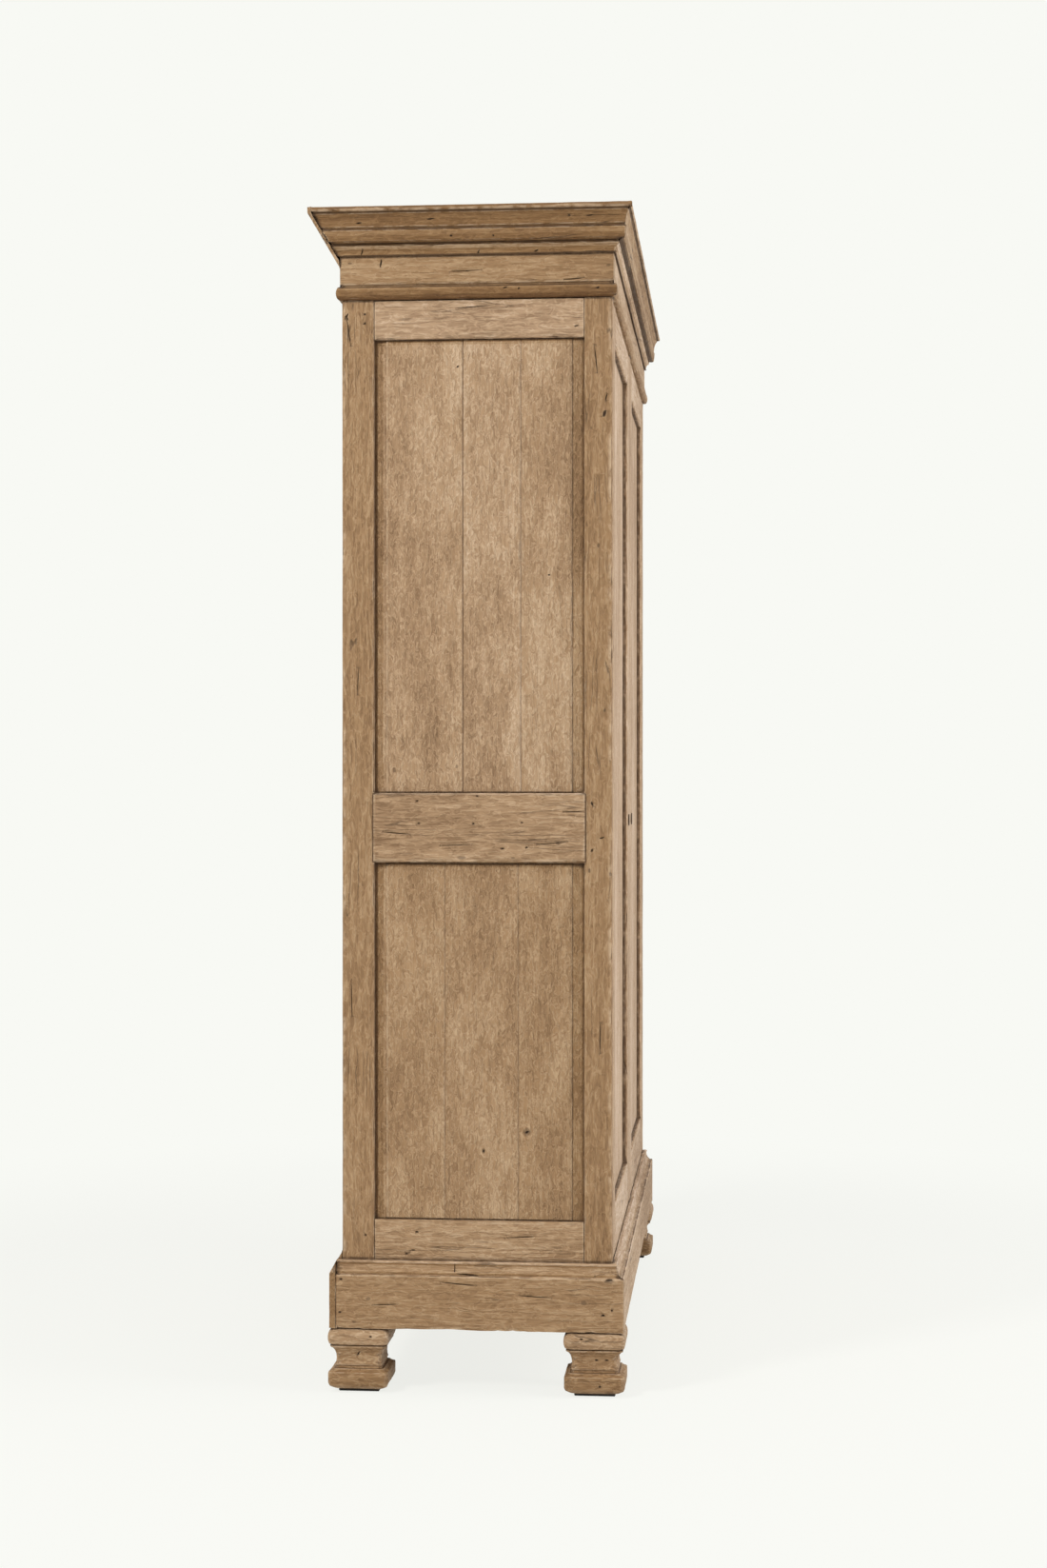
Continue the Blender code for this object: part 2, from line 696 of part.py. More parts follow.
def inside_boards():
    """Floor and shelves housed in the posts, and the top board that lies on the posts and the frieze."""
    end = POST_INNER + DADO_DEPTH - SEAT
    floor = board(
        "floor_board",
        (-end, FRONT + SEAT, Z_FLOOR - FLOOR_THICKNESS),
        (end, BACK - SEAT, Z_FLOOR),
        OAK_INSIDE,
    )
    for index, level in enumerate(shelf_levels()):
        board(
            f"shelf_{index + 1}",
            (-end, SHELF_FRONT, level),
            (end, SHELF_BACK, level + SHELF_THICKNESS),
            OAK_INSIDE,
        )
    edge = HALF_WIDTH + FRIEZE_PROUD
    board(
        "top_board",
        (-edge, FRONT - FRIEZE_PROUD, Z_TOP_BOARD),
        (edge, BACK + back_slope_inside(Z_TOP_BOARD) - SEAT, Z_TOP_BOARD + TOP_THICKNESS),
        OAK_INSIDE,
    )
    return floor


def upright(name, width, near, far, tenon_near, floor, header):
    """A fixed upright between the floor and the frieze, tenoned into both."""
    low = Z_FLOOR + SEAT
    high = Z_NECK
    length = UPRIGHT_TENON_LENGTH - SEAT
    made = board(
        name, (-width / 2, near, low - length), (width / 2, far, high + length), OAK_FRAME, 0.0
    )
    tenon_far = tenon_near + UPRIGHT_TENON_THICKNESS
    half = UPRIGHT_TENON_WIDTH / 2
    for shoulder, outward in ((low, -1), (high, 1)):
        end = shoulder + outward * BEYOND
        cut_box(made, (-width, near - BEYOND, shoulder), (width, tenon_near, end))
        cut_box(made, (-width, tenon_far, shoulder), (width, far + BEYOND, end))
        for side in (-1, 1):
            cut_box(
                made,
                (side * half, near - BEYOND, shoulder),
                (side * width, far + BEYOND, end),
            )
    for holder, level, outward in ((floor, Z_FLOOR, -1), (header, Z_NECK, 1)):
        cut_box(
            holder,
            (-half - SEAT, tenon_near - SEAT, level - outward * BEYOND),
            (half + SEAT, tenon_far + SEAT, level + outward * (UPRIGHT_TENON_LENGTH + SEAT)),
        )
    return made


def back_frame(floor, header):
    """A grooved muntin, and two panels that stand on the floor board in the grooves."""
    near = BACK - MUNTIN_SET - MUNTIN_THICKNESS
    muntin = upright(
        "back_muntin",
        MUNTIN_WIDTH,
        near,
        BACK - MUNTIN_SET,
        BACK - MUNTIN_SET - MUNTIN_TENON_SET - UPRIGHT_TENON_THICKNESS,
        floor,
        header,
    )
    groove = BACK - BACK_GROOVE_SET
    tongue = GROOVE_DEPTH - SEAT
    for label, side in SIDES:
        edge = side * MUNTIN_WIDTH / 2
        cut_box(
            muntin,
            (edge - side * GROOVE_DEPTH, groove, Z_FLOOR - BEYOND),
            (edge + side * BEYOND, groove - GROOVE_WIDTH, Z_NECK + BEYOND),
        )
        board(
            f"{label}_back_panel",
            (edge - side * tongue, groove - SEAT, Z_FLOOR + SEAT),
            (side * (POST_INNER + tongue), groove - GROOVE_WIDTH + SEAT, Z_NECK),
            OAK_INSIDE,
            0.0,
        )


def door_stile(name, side, first, last, groove_at):
    """Door stile with a groove along the edge that faces the panel."""
    made = board(
        name,
        (side * first, FRONT, DOOR_LOW),
        (side * last, FRONT + DOOR_THICKNESS, DOOR_HIGH),
        OAK_FRAME,
    )
    into = 1 if groove_at == first else -1
    cut_box(
        made,
        (side * (groove_at - into * BEYOND), FRONT + DOOR_RECESS, DOOR_LOW - BEYOND),
        (
            side * (groove_at + into * GROOVE_DEPTH),
            FRONT + DOOR_RECESS + DOOR_GROOVE_WIDTH,
            DOOR_HIGH + BEYOND,
        ),
    )
    return made


def door_rail(name, side, inner, outer, low, high, groove_above):
    """Door rail with stub tenons in the stile grooves, and a groove for the panel."""
    tenon = GROOVE_DEPTH - SEAT
    near = FRONT + DOOR_RECESS
    far = near + DOOR_GROOVE_WIDTH
    back = FRONT + DOOR_THICKNESS
    made = board(name, (side * (inner - tenon), FRONT, low), (side * (outer + tenon), back, high), OAK_FRAME)
    for shoulder, outward in ((inner + SEAT, -1), (outer - SEAT, 1)):
        past = shoulder + outward * (tenon + BEYOND)
        cut_box(
            made,
            (side * shoulder, FRONT - BEYOND, low - BEYOND),
            (side * past, near + SEAT, high + BEYOND),
        )
        cut_box(
            made,
            (side * shoulder, far - SEAT, low - BEYOND),
            (side * past, back + BEYOND, high + BEYOND),
        )
    edge = high if groove_above else low
    into = -1 if groove_above else 1
    cut_box(
        made,
        (side * (inner - GROOVE_DEPTH - BEYOND), near, edge - into * BEYOND),
        (side * (outer + GROOVE_DEPTH + BEYOND), far, edge + into * GROOVE_DEPTH),
    )
    return made


def lock(label, side, axis):
    """Key-turned lock: a rose with a key slot, a barrel through the stile and a cam behind it."""
    centre = (side * LOCK_X, 0.0, LOCK_HEIGHT)
    rose_back = FRONT - SEAT
    rose_front = rose_back - LOCK_ROSE_THICKNESS
    cam_front = FRONT + DOOR_THICKNESS + 2 * SEAT
    made = rod(f"{label}_lock", centre, LOCK_ROSE_RADIUS, rose_front, rose_back, IRON, "Y")
    barrel = rod(
        "barrel",
        centre,
        LOCK_BARREL_RADIUS,
        rose_front + LOCK_ROSE_THICKNESS / 2,
        cam_front + CAM_THICKNESS / 2,
        IRON,
        "Y",
    )
    combine(made, barrel, "UNION")
    reach = DOOR_STILE_WIDTH / 2 + DOOR_GAP + CAM_REACH_PAST_EDGE
    cam = board(
        "cam",
        (centre[0] - CAM_WIDTH / 2, cam_front, LOCK_HEIGHT - reach),
        (centre[0] + CAM_WIDTH / 2, cam_front + CAM_THICKNESS, LOCK_HEIGHT + CAM_WIDTH / 2),
        IRON,
        CAM_ARRIS,
    )
    combine(made, cam, "UNION")
    cut_box(
        made,
        (centre[0] - LOCK_SLOT_WIDTH / 2, rose_front - BEYOND, LOCK_HEIGHT - LOCK_SLOT_HEIGHT / 2),
        (
            centre[0] + LOCK_SLOT_WIDTH / 2,
            rose_front + LOCK_SLOT_DEPTH,
            LOCK_HEIGHT + LOCK_SLOT_HEIGHT / 2,
        ),
    )
    hang(made, axis_empty(f"{label}_lock_axis", (centre[0], FRONT, LOCK_HEIGHT), axis))


def pivot(name, x, z_frame, z_door):
    """Pin with a collar, half in the frame and half in the door stile."""
    upward = 1 if z_door > z_frame else -1
    ends = sorted((z_frame - upward * PIVOT_REACH, z_door + upward * PIVOT_REACH))
    made = rod(name, (x, PIVOT_Y, 0.0), PIVOT_RADIUS, *ends, IRON)
    collar_ends = sorted((z_frame + upward * SEAT, z_door - upward * SEAT))
    collar = rod("collar", (x, PIVOT_Y, 0.0), PIVOT_COLLAR_RADIUS, *collar_ends, IRON)
    combine(made, collar, "UNION")


def door(label, side, floor, header):
    """Framed door with a flat panel, on a pivot at the foot and head of its outer stile."""
    inner = MULLION_WIDTH / 2 + DOOR_GAP
    outer = POST_INNER - DOOR_GAP
    panel_inner = inner + DOOR_STILE_WIDTH
    panel_outer = outer - DOOR_STILE_WIDTH
    hinge = door_stile(f"{label}_door_hinge_stile", side, panel_outer, outer, panel_outer)
    latch = door_stile(f"{label}_door_lock_stile", side, inner, panel_inner, panel_inner)
    low_rail_top = DOOR_LOW + DOOR_BOTTOM_RAIL
    top_rail_low = DOOR_HIGH - DOOR_TOP_RAIL
    pieces = [hinge, latch]
    pieces.append(
        door_rail(f"{label}_door_bottom_rail", side, panel_inner, panel_outer, DOOR_LOW, low_rail_top, True)
    )
    pieces.append(
        door_rail(f"{label}_door_top_rail", side, panel_inner, panel_outer, top_rail_low, DOOR_HIGH, False)
    )
    tongue = GROOVE_DEPTH - SEAT
    pieces.append(
        board(
            f"{label}_door_panel",
            (side * (panel_inner - tongue), FRONT + DOOR_RECESS + SEAT, low_rail_top - tongue),
            (
                side * (panel_outer + tongue),
                FRONT + DOOR_RECESS + DOOR_GROOVE_WIDTH - SEAT,
                top_rail_low + tongue,
            ),
            OAK_PANEL,
            0.0,
        )
    )
    x = side * PIVOT_X
    hole = PIVOT_RADIUS + RUNNING
    depth = PIVOT_REACH + SEAT
    cut_rod(hinge, (x, PIVOT_Y, 0.0), hole, DOOR_LOW - BEYOND, DOOR_LOW + depth)
    cut_rod(hinge, (x, PIVOT_Y, 0.0), hole, DOOR_HIGH - depth, DOOR_HIGH + BEYOND)
    cut_rod(floor, (x, PIVOT_Y, 0.0), hole, Z_FLOOR - depth, Z_FLOOR + BEYOND)
    cut_rod(header, (x, PIVOT_Y, 0.0), hole, Z_NECK - BEYOND, Z_NECK + SEAT + depth)
    pivot(f"{label}_lower_pivot", x, Z_FLOOR, DOOR_LOW)
    pivot(f"{label}_upper_pivot", x, Z_NECK + SEAT, DOOR_HIGH)
    cut_rod(
        latch,
        (side * LOCK_X, 0.0, LOCK_HEIGHT),
        LOCK_BARREL_RADIUS + RUNNING,
        FRONT - BEYOND,
        FRONT + DOOR_THICKNESS + BEYOND,
        "Y",
    )
    axis = axis_empty(f"{label}_door_axis", (x, PIVOT_Y, DOOR_LOW))
    for piece in pieces:
        hang(piece, axis)
    lock(label, side, axis)


def smooth_rounds():
    """Shades every piece smooth, with its corners kept sharp."""
    for piece in bpy.context.scene.objects:
        if piece.type == "MESH":
            piece.data.shade_smooth()
            piece.data.set_sharp_from_angle(angle=math.radians(SHARP_ANGLE))


def build():
    for label, side in SIDES:
        end_frame(label, side)
        foot(f"{label}_front", side, FRONT, -1, FRONT_POST_DEPTH)
        foot(f"{label}_back", side, BACK, 1, BACK_POST_DEPTH)
    frieze_front, frieze_back = frieze()
    cornice()
    plinth()
    floor = inside_boards()
    back_frame(floor, frieze_back)
    upright(
        "front_mullion",
        MULLION_WIDTH,
        FRONT,
        FRONT + DOOR_THICKNESS,
        FRONT + UPRIGHT_TENON_SET,
        floor,
        frieze_front,
    )
    for label, side in SIDES:
        door(label, side, floor, frieze_front)
    smooth_rounds()


build()
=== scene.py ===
import math

import bmesh
import bpy
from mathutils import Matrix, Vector, noise
from mathutils.bvhtree import BVHTree


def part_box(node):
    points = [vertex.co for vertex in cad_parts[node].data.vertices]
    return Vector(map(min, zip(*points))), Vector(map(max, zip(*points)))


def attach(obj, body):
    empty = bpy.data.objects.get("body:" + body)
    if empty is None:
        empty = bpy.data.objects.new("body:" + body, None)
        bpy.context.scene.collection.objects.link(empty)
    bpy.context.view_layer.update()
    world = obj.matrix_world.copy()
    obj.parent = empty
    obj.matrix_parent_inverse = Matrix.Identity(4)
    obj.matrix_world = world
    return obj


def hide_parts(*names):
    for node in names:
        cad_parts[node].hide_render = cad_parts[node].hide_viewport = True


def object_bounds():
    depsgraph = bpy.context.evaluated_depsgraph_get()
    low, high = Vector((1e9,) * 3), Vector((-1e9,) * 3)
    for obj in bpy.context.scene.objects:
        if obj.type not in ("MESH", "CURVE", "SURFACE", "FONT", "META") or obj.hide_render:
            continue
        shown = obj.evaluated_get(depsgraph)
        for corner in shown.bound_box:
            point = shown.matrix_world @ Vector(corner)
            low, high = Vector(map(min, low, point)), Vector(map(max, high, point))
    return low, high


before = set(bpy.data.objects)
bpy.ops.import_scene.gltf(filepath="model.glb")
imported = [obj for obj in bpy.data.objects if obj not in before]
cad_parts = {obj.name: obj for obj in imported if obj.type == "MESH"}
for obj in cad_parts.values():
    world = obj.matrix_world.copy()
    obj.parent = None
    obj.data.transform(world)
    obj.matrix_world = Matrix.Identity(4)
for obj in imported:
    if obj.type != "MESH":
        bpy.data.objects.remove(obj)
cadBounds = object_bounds()
print("frame loaded,", len(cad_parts), "nodes")


# camera, set by fitting the corners of the end and of the door panels
cameraView = {
    "place": (-5.3235, -0.5064, 1.1621),
    "turnToBack": math.radians(5.048),
    "tilt": math.radians(-0.403),
    "lens": 57.78,
    "sensor": 36.0,
    "farthest": 100.0,
}


def setCamera(view):
    lens = bpy.data.cameras.new("photoCamera")
    lens.lens = view["lens"]
    lens.sensor_width = view["sensor"]
    lens.clip_end = view["farthest"]
    camera = bpy.data.objects.new("photoCamera", lens)
    bpy.context.scene.collection.objects.link(camera)
    camera.location = view["place"]
    level = math.cos(view["tilt"])
    look = Vector((
        math.cos(view["turnToBack"]) * level,
        math.sin(view["turnToBack"]) * level,
        math.sin(view["tilt"]),
    ))
    camera.rotation_euler = look.to_track_quat("-Z", "Y").to_euler()
    bpy.context.scene.camera = camera


setCamera(cameraView)
print("camera set")


# shader building, shared by all finishes
noiseMiddle = 0.5
noiseSpan = (0.3, 0.7)  # what most of a noise's values lie between


def addNode(tree, kind, inputs=None, **settings):
    made = tree.nodes.new("ShaderNode" + kind)
    for key, value in settings.items():
        setattr(made, key, value)
    for key, value in (inputs or {}).items():
        socket = made.inputs[key]
        if isinstance(value, bpy.types.NodeSocket):
            tree.links.new(value, socket)
        else:
            socket.default_value = value
    return made


def calc(tree, operation, first, second=0.0, third=0.0, clamp=False):
    return addNode(
        tree, "Math", {0: first, 1: second, 2: third}, operation=operation, use_clamp=clamp
    ).outputs[0]


def vectorCalc(tree, operation, first, second=(0.0, 0.0, 0.0)):
    made = addNode(tree, "VectorMath", {0: first, 1: second}, operation=operation)
    return made.outputs["Value" if operation == "LENGTH" else "Vector"]


def scaleVector(tree, vector, share):
    return addNode(tree, "VectorMath", {0: vector, "Scale": share}, operation="SCALE").outputs[0]


def remap(tree, value, low, high, toLow=0.0, toHigh=1.0):
    inputs = {"Value": value, "From Min": low, "From Max": high, "To Min": toLow, "To Max": toHigh}
    return addNode(tree, "MapRange", inputs, interpolation_type="SMOOTHSTEP").outputs[0]


def noiseAt(tree, place, scale, detail=2.0, rough=0.5, distortion=0.0):
    stretched = vectorCalc(tree, "MULTIPLY", place, scale)
    inputs = {"Vector": stretched, "Scale": 1.0, "Detail": detail, "Roughness": rough}
    inputs["Distortion"] = distortion
    return addNode(tree, "TexNoise", inputs).outputs["Fac"]


def levelLine(tree, value, level, width):
    away = calc(tree, "ABSOLUTE", calc(tree, "SUBTRACT", value, level))
    return remap(tree, away, 0.0, width, 1.0, 0.0)


def weigh(tree, masks, shares, start):
    total = start
    for label, share in shares.items():
        total = calc(tree, "MULTIPLY_ADD", masks[label], share, total)
    return total


def mixColours(tree, share, under, over):
    return addNode(tree, "Mix", {0: share, 6: under, 7: over}, data_type="RGBA").outputs[2]


def newGroup(name, inputs, outputs):
    group = bpy.data.node_groups.new(name, "ShaderNodeTree")
    for way, sockets in (("INPUT", inputs), ("OUTPUT", outputs)):
        for label, kind in sockets.items():
            group.interface.new_socket(name=label, in_out=way, socket_type="NodeSocket" + kind)
    given = group.nodes.new("NodeGroupInput").outputs
    put = group.nodes.new("NodeGroupOutput").inputs
    return group, given, put


def newFinish(name):
    finish = bpy.data.materials.new(name)
    finish.use_nodes = True
    tree = finish.node_tree
    return finish, tree, tree.nodes["Principled BSDF"].inputs


# grain of old oak: the board's length lies along the third axis of Grain
oakGrain = {
    "seedStep": (17.3, 29.1, 41.7),
    "wander": ((5.0, 5.0, 1.1), 0.016),  # scale and reach
    "ripple": ((70.0, 70.0, 34.0), 0.0038),
    "driftDetail": 2.0,
    "figure": (4.0, 0.55),  # detail and roughness
    "paleRing": (0.1, 1.0),
    "darkRing": (-0.35, -1.0),
    "curl": (2.0, 0.5, 1.0),  # detail, roughness and distortion
    "paleCurl": (0.5, 0.075),  # level and width
    # the dark curls lie beside the pale ones, so they are dark figure and also a painted shaded side to each
    # curl
    "darkCurl": (0.37, 0.07),
    "band": ((22.0, 22.0, 2.0), 3.0, 0.55),  # scale, detail and roughness
    "fine": ((420.0, 420.0, 16.0), 3.0, 0.6),
    "stain": ((4.4, 4.4, 1.4), 2.0, 0.5),
    "pore": ((1000.0, 1000.0, 60.0), 1.0, 0.5),
    "poreSpan": (0.60, 0.72),
    "poreDark": 0.2,
    "crack": ((52.0, 52.0, 2.4), 1.0, 0.5),
    "crackLine": (0.5, 0.014),
    "crackWhere": ((16.0, 16.0, 7.0), 2.0, 0.6),
    "crackSpan": (0.52, 0.60),
    "pit": (42.0, 42.0, 22.0),
    "pitSpan": (0.05, 0.12),
    "pitRare": (0.90, 0.92),
    "middleTone": 0.450,
    "toneShares": {
        "band": 0.26, "paleRing": 0.12, "darkRing": -0.09,
        "paleCurl": 0.25, "darkCurl": -0.12, "fine": 0.55,
    },
    "heightShares": {
        "paleRing": 0.35, "darkRing": -0.35, "paleCurl": 0.45, "darkCurl": -0.4, "fine": 0.4,
        "flaw": -1.6, "pore": -0.25,
    },
}


def driftPlace(tree, place, scale, reach, detail):
    stretched = vectorCalc(tree, "MULTIPLY", place, scale)
    drift = addNode(tree, "TexNoise", {"Vector": stretched, "Scale": 1.0, "Detail": detail})
    drift = vectorCalc(tree, "SUBTRACT", drift.outputs["Color"], (noiseMiddle, noiseMiddle, noiseMiddle))
    drift = vectorCalc(tree, "MULTIPLY", drift, (reach, reach, 0.0))
    return vectorCalc(tree, "ADD", place, drift)


def makeGrainGroup(grain):
    tree, given, put = newGroup(
        "agedOakGrain",
        {
            "Grain": "Vector", "Seed": "Float", "Figure": "Vector", "Rings": "Float",
            "Curls": "Float", "Curl Scale": "Vector", "Stain": "Float", "Cracks": "Float",
        },
        {"Tone": "Float", "Dark": "Float", "Height": "Float"},
    )
    place = vectorCalc(tree, "ADD", given["Grain"], scaleVector(tree, grain["seedStep"], given["Seed"]))
    for label in ("wander", "ripple"):
        place = driftPlace(tree, place, *grain[label], grain["driftDetail"])
    masks = {}
    for label in ("band", "fine"):
        masks[label] = calc(tree, "SUBTRACT", noiseAt(tree, place, *grain[label]), noiseMiddle)
    # growth rings are level lines of a slow noise, curls those of a quick one
    figure = calc(tree, "MULTIPLY", noiseAt(tree, place, given["Figure"], *grain["figure"]), given["Rings"])
    ring = calc(tree, "SINE", calc(tree, "MULTIPLY", figure, 2 * math.pi))
    for label in ("paleRing", "darkRing"):
        masks[label] = remap(tree, ring, *grain[label])
    quick = noiseAt(tree, place, given["Curl Scale"], *grain["curl"])
    for label in ("paleCurl", "darkCurl"):
        masks[label] = calc(tree, "MULTIPLY", levelLine(tree, quick, *grain[label]), given["Curls"])
    # checks are thin level lines of a stretched noise, kept only in places
    line = levelLine(tree, noiseAt(tree, place, *grain["crack"]), *grain["crackLine"])
    where = remap(tree, noiseAt(tree, place, *grain["crackWhere"]), *grain["crackSpan"])
    crack = calc(tree, "MULTIPLY", calc(tree, "MULTIPLY", line, where), given["Cracks"], clamp=True)
    # pits are the middles of a few cells
    stretched = vectorCalc(tree, "MULTIPLY", place, grain["pit"])
    cells = addNode(tree, "TexVoronoi", {"Vector": stretched, "Scale": 1.0}).outputs
    lucky = addNode(tree, "SeparateColor", {0: cells["Color"]}).outputs[0]
    middle = remap(tree, cells["Distance"], *grain["pitSpan"], 1.0, 0.0)
    pit = calc(tree, "MULTIPLY", middle, remap(tree, lucky, *grain["pitRare"]))
    pit = calc(tree, "MULTIPLY", pit, given["Cracks"], clamp=True)
    masks["flaw"] = calc(tree, "MAXIMUM", crack, pit)
    masks["pore"] = remap(tree, noiseAt(tree, place, *grain["pore"]), *grain["poreSpan"])
    stain = calc(tree, "SUBTRACT", noiseAt(tree, given["Grain"], *grain["stain"]), noiseMiddle)
    tone = weigh(tree, masks, grain["toneShares"], grain["middleTone"])
    tone = calc(tree, "MULTIPLY_ADD", stain, given["Stain"], tone, True)
    dark = calc(tree, "MULTIPLY_ADD", masks["pore"], grain["poreDark"], masks["flaw"], True)
    height = weigh(tree, masks, grain["heightShares"], 0.0)
    for label, value in (("Tone", tone), ("Dark", dark), ("Height", height)):
        tree.links.new(value, put[label])
    return tree


# a knot bends the grain around it and leaves a dark eye
oakKnot = {
    "ragged": ((210.0, 210.0, 210.0), 3.0, 0.6),
    "raggedShare": 1.1,
    "raggedLeast": 0.45,
    "pullSpan": (0.6, 3.4),
    "bend": -0.5,
    "ringTurn": 7.5,
    "eyeSpan": (0.45, 1.05),
}


def makeKnotGroup(knot):
    tree, given, put = newGroup(
        "oakKnot",
        {"Place": "Vector", "Centre": "Vector", "Size": "Vector"},
        {"Bent": "Vector", "Eye": "Float", "Rings": "Float"},
    )
    away = vectorCalc(tree, "SUBTRACT", given["Place"], given["Centre"])
    far = vectorCalc(tree, "LENGTH", vectorCalc(tree, "DIVIDE", away, given["Size"]))
    ragged = noiseAt(tree, given["Place"], *knot["ragged"])
    ragged = calc(tree, "MULTIPLY_ADD", ragged, knot["raggedShare"], knot["raggedLeast"])
    far = calc(tree, "MULTIPLY", far, ragged)
    pull = remap(tree, far, *knot["pullSpan"], 1.0, 0.0)
    bent = scaleVector(tree, away, calc(tree, "MULTIPLY", pull, knot["bend"]))
    ring = calc(tree, "SINE", calc(tree, "MULTIPLY", far, knot["ringTurn"]))
    tree.links.new(vectorCalc(tree, "ADD", given["Place"], bent), put["Bent"])
    tree.links.new(remap(tree, far, *knot["eyeSpan"], 1.0, 0.0), put["Eye"])
    tree.links.new(calc(tree, "MULTIPLY", ring, pull), put["Rings"])
    return tree


# wear and painted shade: pale worn arrises, and a dark colour in hollows and joints that is both grime and
# painted shade
oakWearAndShade = {
    "arrisSpan": (0.3, 1.0),
    "patch": ((38.0, 38.0, 38.0), 3.0, 0.6),
    "patchSpan": (0.36, 0.60),
    "grimeShadeSpan": (0.10, 0.46),
    "hollowSpan": (0.1, 0.9),
    "hollowShare": 0.8,
    "smudge": ((60.0, 60.0, 60.0), 3.0, 0.65),
    "smudgeSpan": (0.25, 0.6),
    "smudgeRange": (0.5, 1.0),
}


def makeWearShadeGroup(wearShade):
    tree, given, put = newGroup(
        "agedOakWearAndShade",
        {"Place": "Vector", "Arris": "Float", "Hollow": "Float", "GrimeAndShade": "Float"},
        {"Pale": "Float", "DirtAndShade": "Float"},
    )
    patchy = remap(tree, noiseAt(tree, given["Place"], *wearShade["patch"]), *wearShade["patchSpan"])
    pale = calc(tree, "MULTIPLY", remap(tree, given["Arris"], *wearShade["arrisSpan"]), patchy)
    smudge = noiseAt(tree, given["Place"], *wearShade["smudge"])
    smudge = remap(tree, smudge, *wearShade["smudgeSpan"], *wearShade["smudgeRange"])
    # occluded corners and hollows are painted dark: painted shade as well as grime
    shaded = remap(tree, given["GrimeAndShade"], *wearShade["grimeShadeSpan"])
    hollow = remap(tree, given["Hollow"], *wearShade["hollowSpan"])
    dirtAndShade = calc(tree, "MULTIPLY_ADD", hollow, wearShade["hollowShare"], shaded)
    tree.links.new(pale, put["Pale"])
    tree.links.new(calc(tree, "MULTIPLY", dirtAndShade, smudge, clamp=True), put["DirtAndShade"])
    return tree


grainGroup = makeGrainGroup(oakGrain)
knotGroup = makeKnotGroup(oakKnot)
wearShadeGroup = makeWearShadeGroup(oakWearAndShade)

grainTurn = {
    "upright": (0.0, 0.0, 0.0),
    "alongEnd": (math.radians(90), 0.0, 0.0),
    "alongFront": (0.0, math.radians(90), 0.0),
}

# colours of the oak, linear, from its dark lines to its bare arrises
oakColours = {
    "dark": (0.205, 0.115, 0.055, 1.0),
    "middle": (0.428, 0.274, 0.152, 1.0),
    "pale": (0.640, 0.468, 0.312, 1.0),
    "check": (0.066, 0.036, 0.016, 1.0),
    # the dark of hollows and occluded corners: painted shade as well as grime
    "dirtAndShade": (0.085, 0.043, 0.018, 1.0),
    "arris": (0.640, 0.470, 0.310, 1.0),
}
oakSurface = {
    "rampEnds": (0.04, 0.96),
    "rampMiddle": 0.5,
    "toneBend": (1.0, 1.32, 2.0),  # a dark board is a redder one, so its tone acts most on blue
    "frontSheen": (-0.10, -0.06, 0.04),  # the front's faces are painted greyer: a painted sheen of grazing light
    "swirlTone": 0.06,
    "eyeShare": 0.6,
    "arrisShare": 0.62,
    "dirtAndShadeShare": 0.85,
    "checkShare": 0.9,
    "roughness": (0.78, 0.56),
    "specular": 0.4,
    "reliefStrength": 0.7,
    "reliefDepth": 0.0018,
}
plainOak = {
    "figure": (44.0, 44.0, 4.0),
    "rings": 6.0,
    "curls": 0.7,
    "curlScale": (96.0, 96.0, 34.0),
    "stain": 0.85,
    "cracks": 1.0,
    "knots": (),
    "seams": 1.0,
}


def bendAtKnots(tree, place, knots):
    bent = place
    eyes = 0.0
    swirl = 0.0
    for centre, size in knots:
        knot = addNode(tree, "Group", node_tree=knotGroup, inputs={
            "Place": bent, "Centre": centre, "Size": size,
        }).outputs
        bent = knot["Bent"]
        eyes = calc(tree, "MAXIMUM", knot["Eye"], eyes)
        swirl = calc(tree, "ADD", knot["Rings"], swirl)
    return bent, eyes, swirl


def colourOak(tree, tone, boardToneAndShade, frontSheen):
    ramp = addNode(tree, "ValToRGB", {"Fac": tone})
    stops = ramp.color_ramp.elements
    for stop, place, label in zip(stops, oakSurface["rampEnds"], ("dark", "pale")):
        stop.position = place
        stop.color = oakColours[label]
    stops.new(oakSurface["rampMiddle"]).color = oakColours["middle"]
    tones = [calc(tree, "POWER", boardToneAndShade, bend) for bend in oakSurface["toneBend"]]
    greys = [calc(tree, "MULTIPLY_ADD", frontSheen, change, 1.0) for change in oakSurface["frontSheen"]]
    colour = ramp.outputs[0]
    for shares in (tones, greys):
        tint = addNode(tree, "CombineXYZ", dict(enumerate(shares))).outputs[0]
        colour = vectorCalc(tree, "MULTIPLY", colour, tint)
    return colour


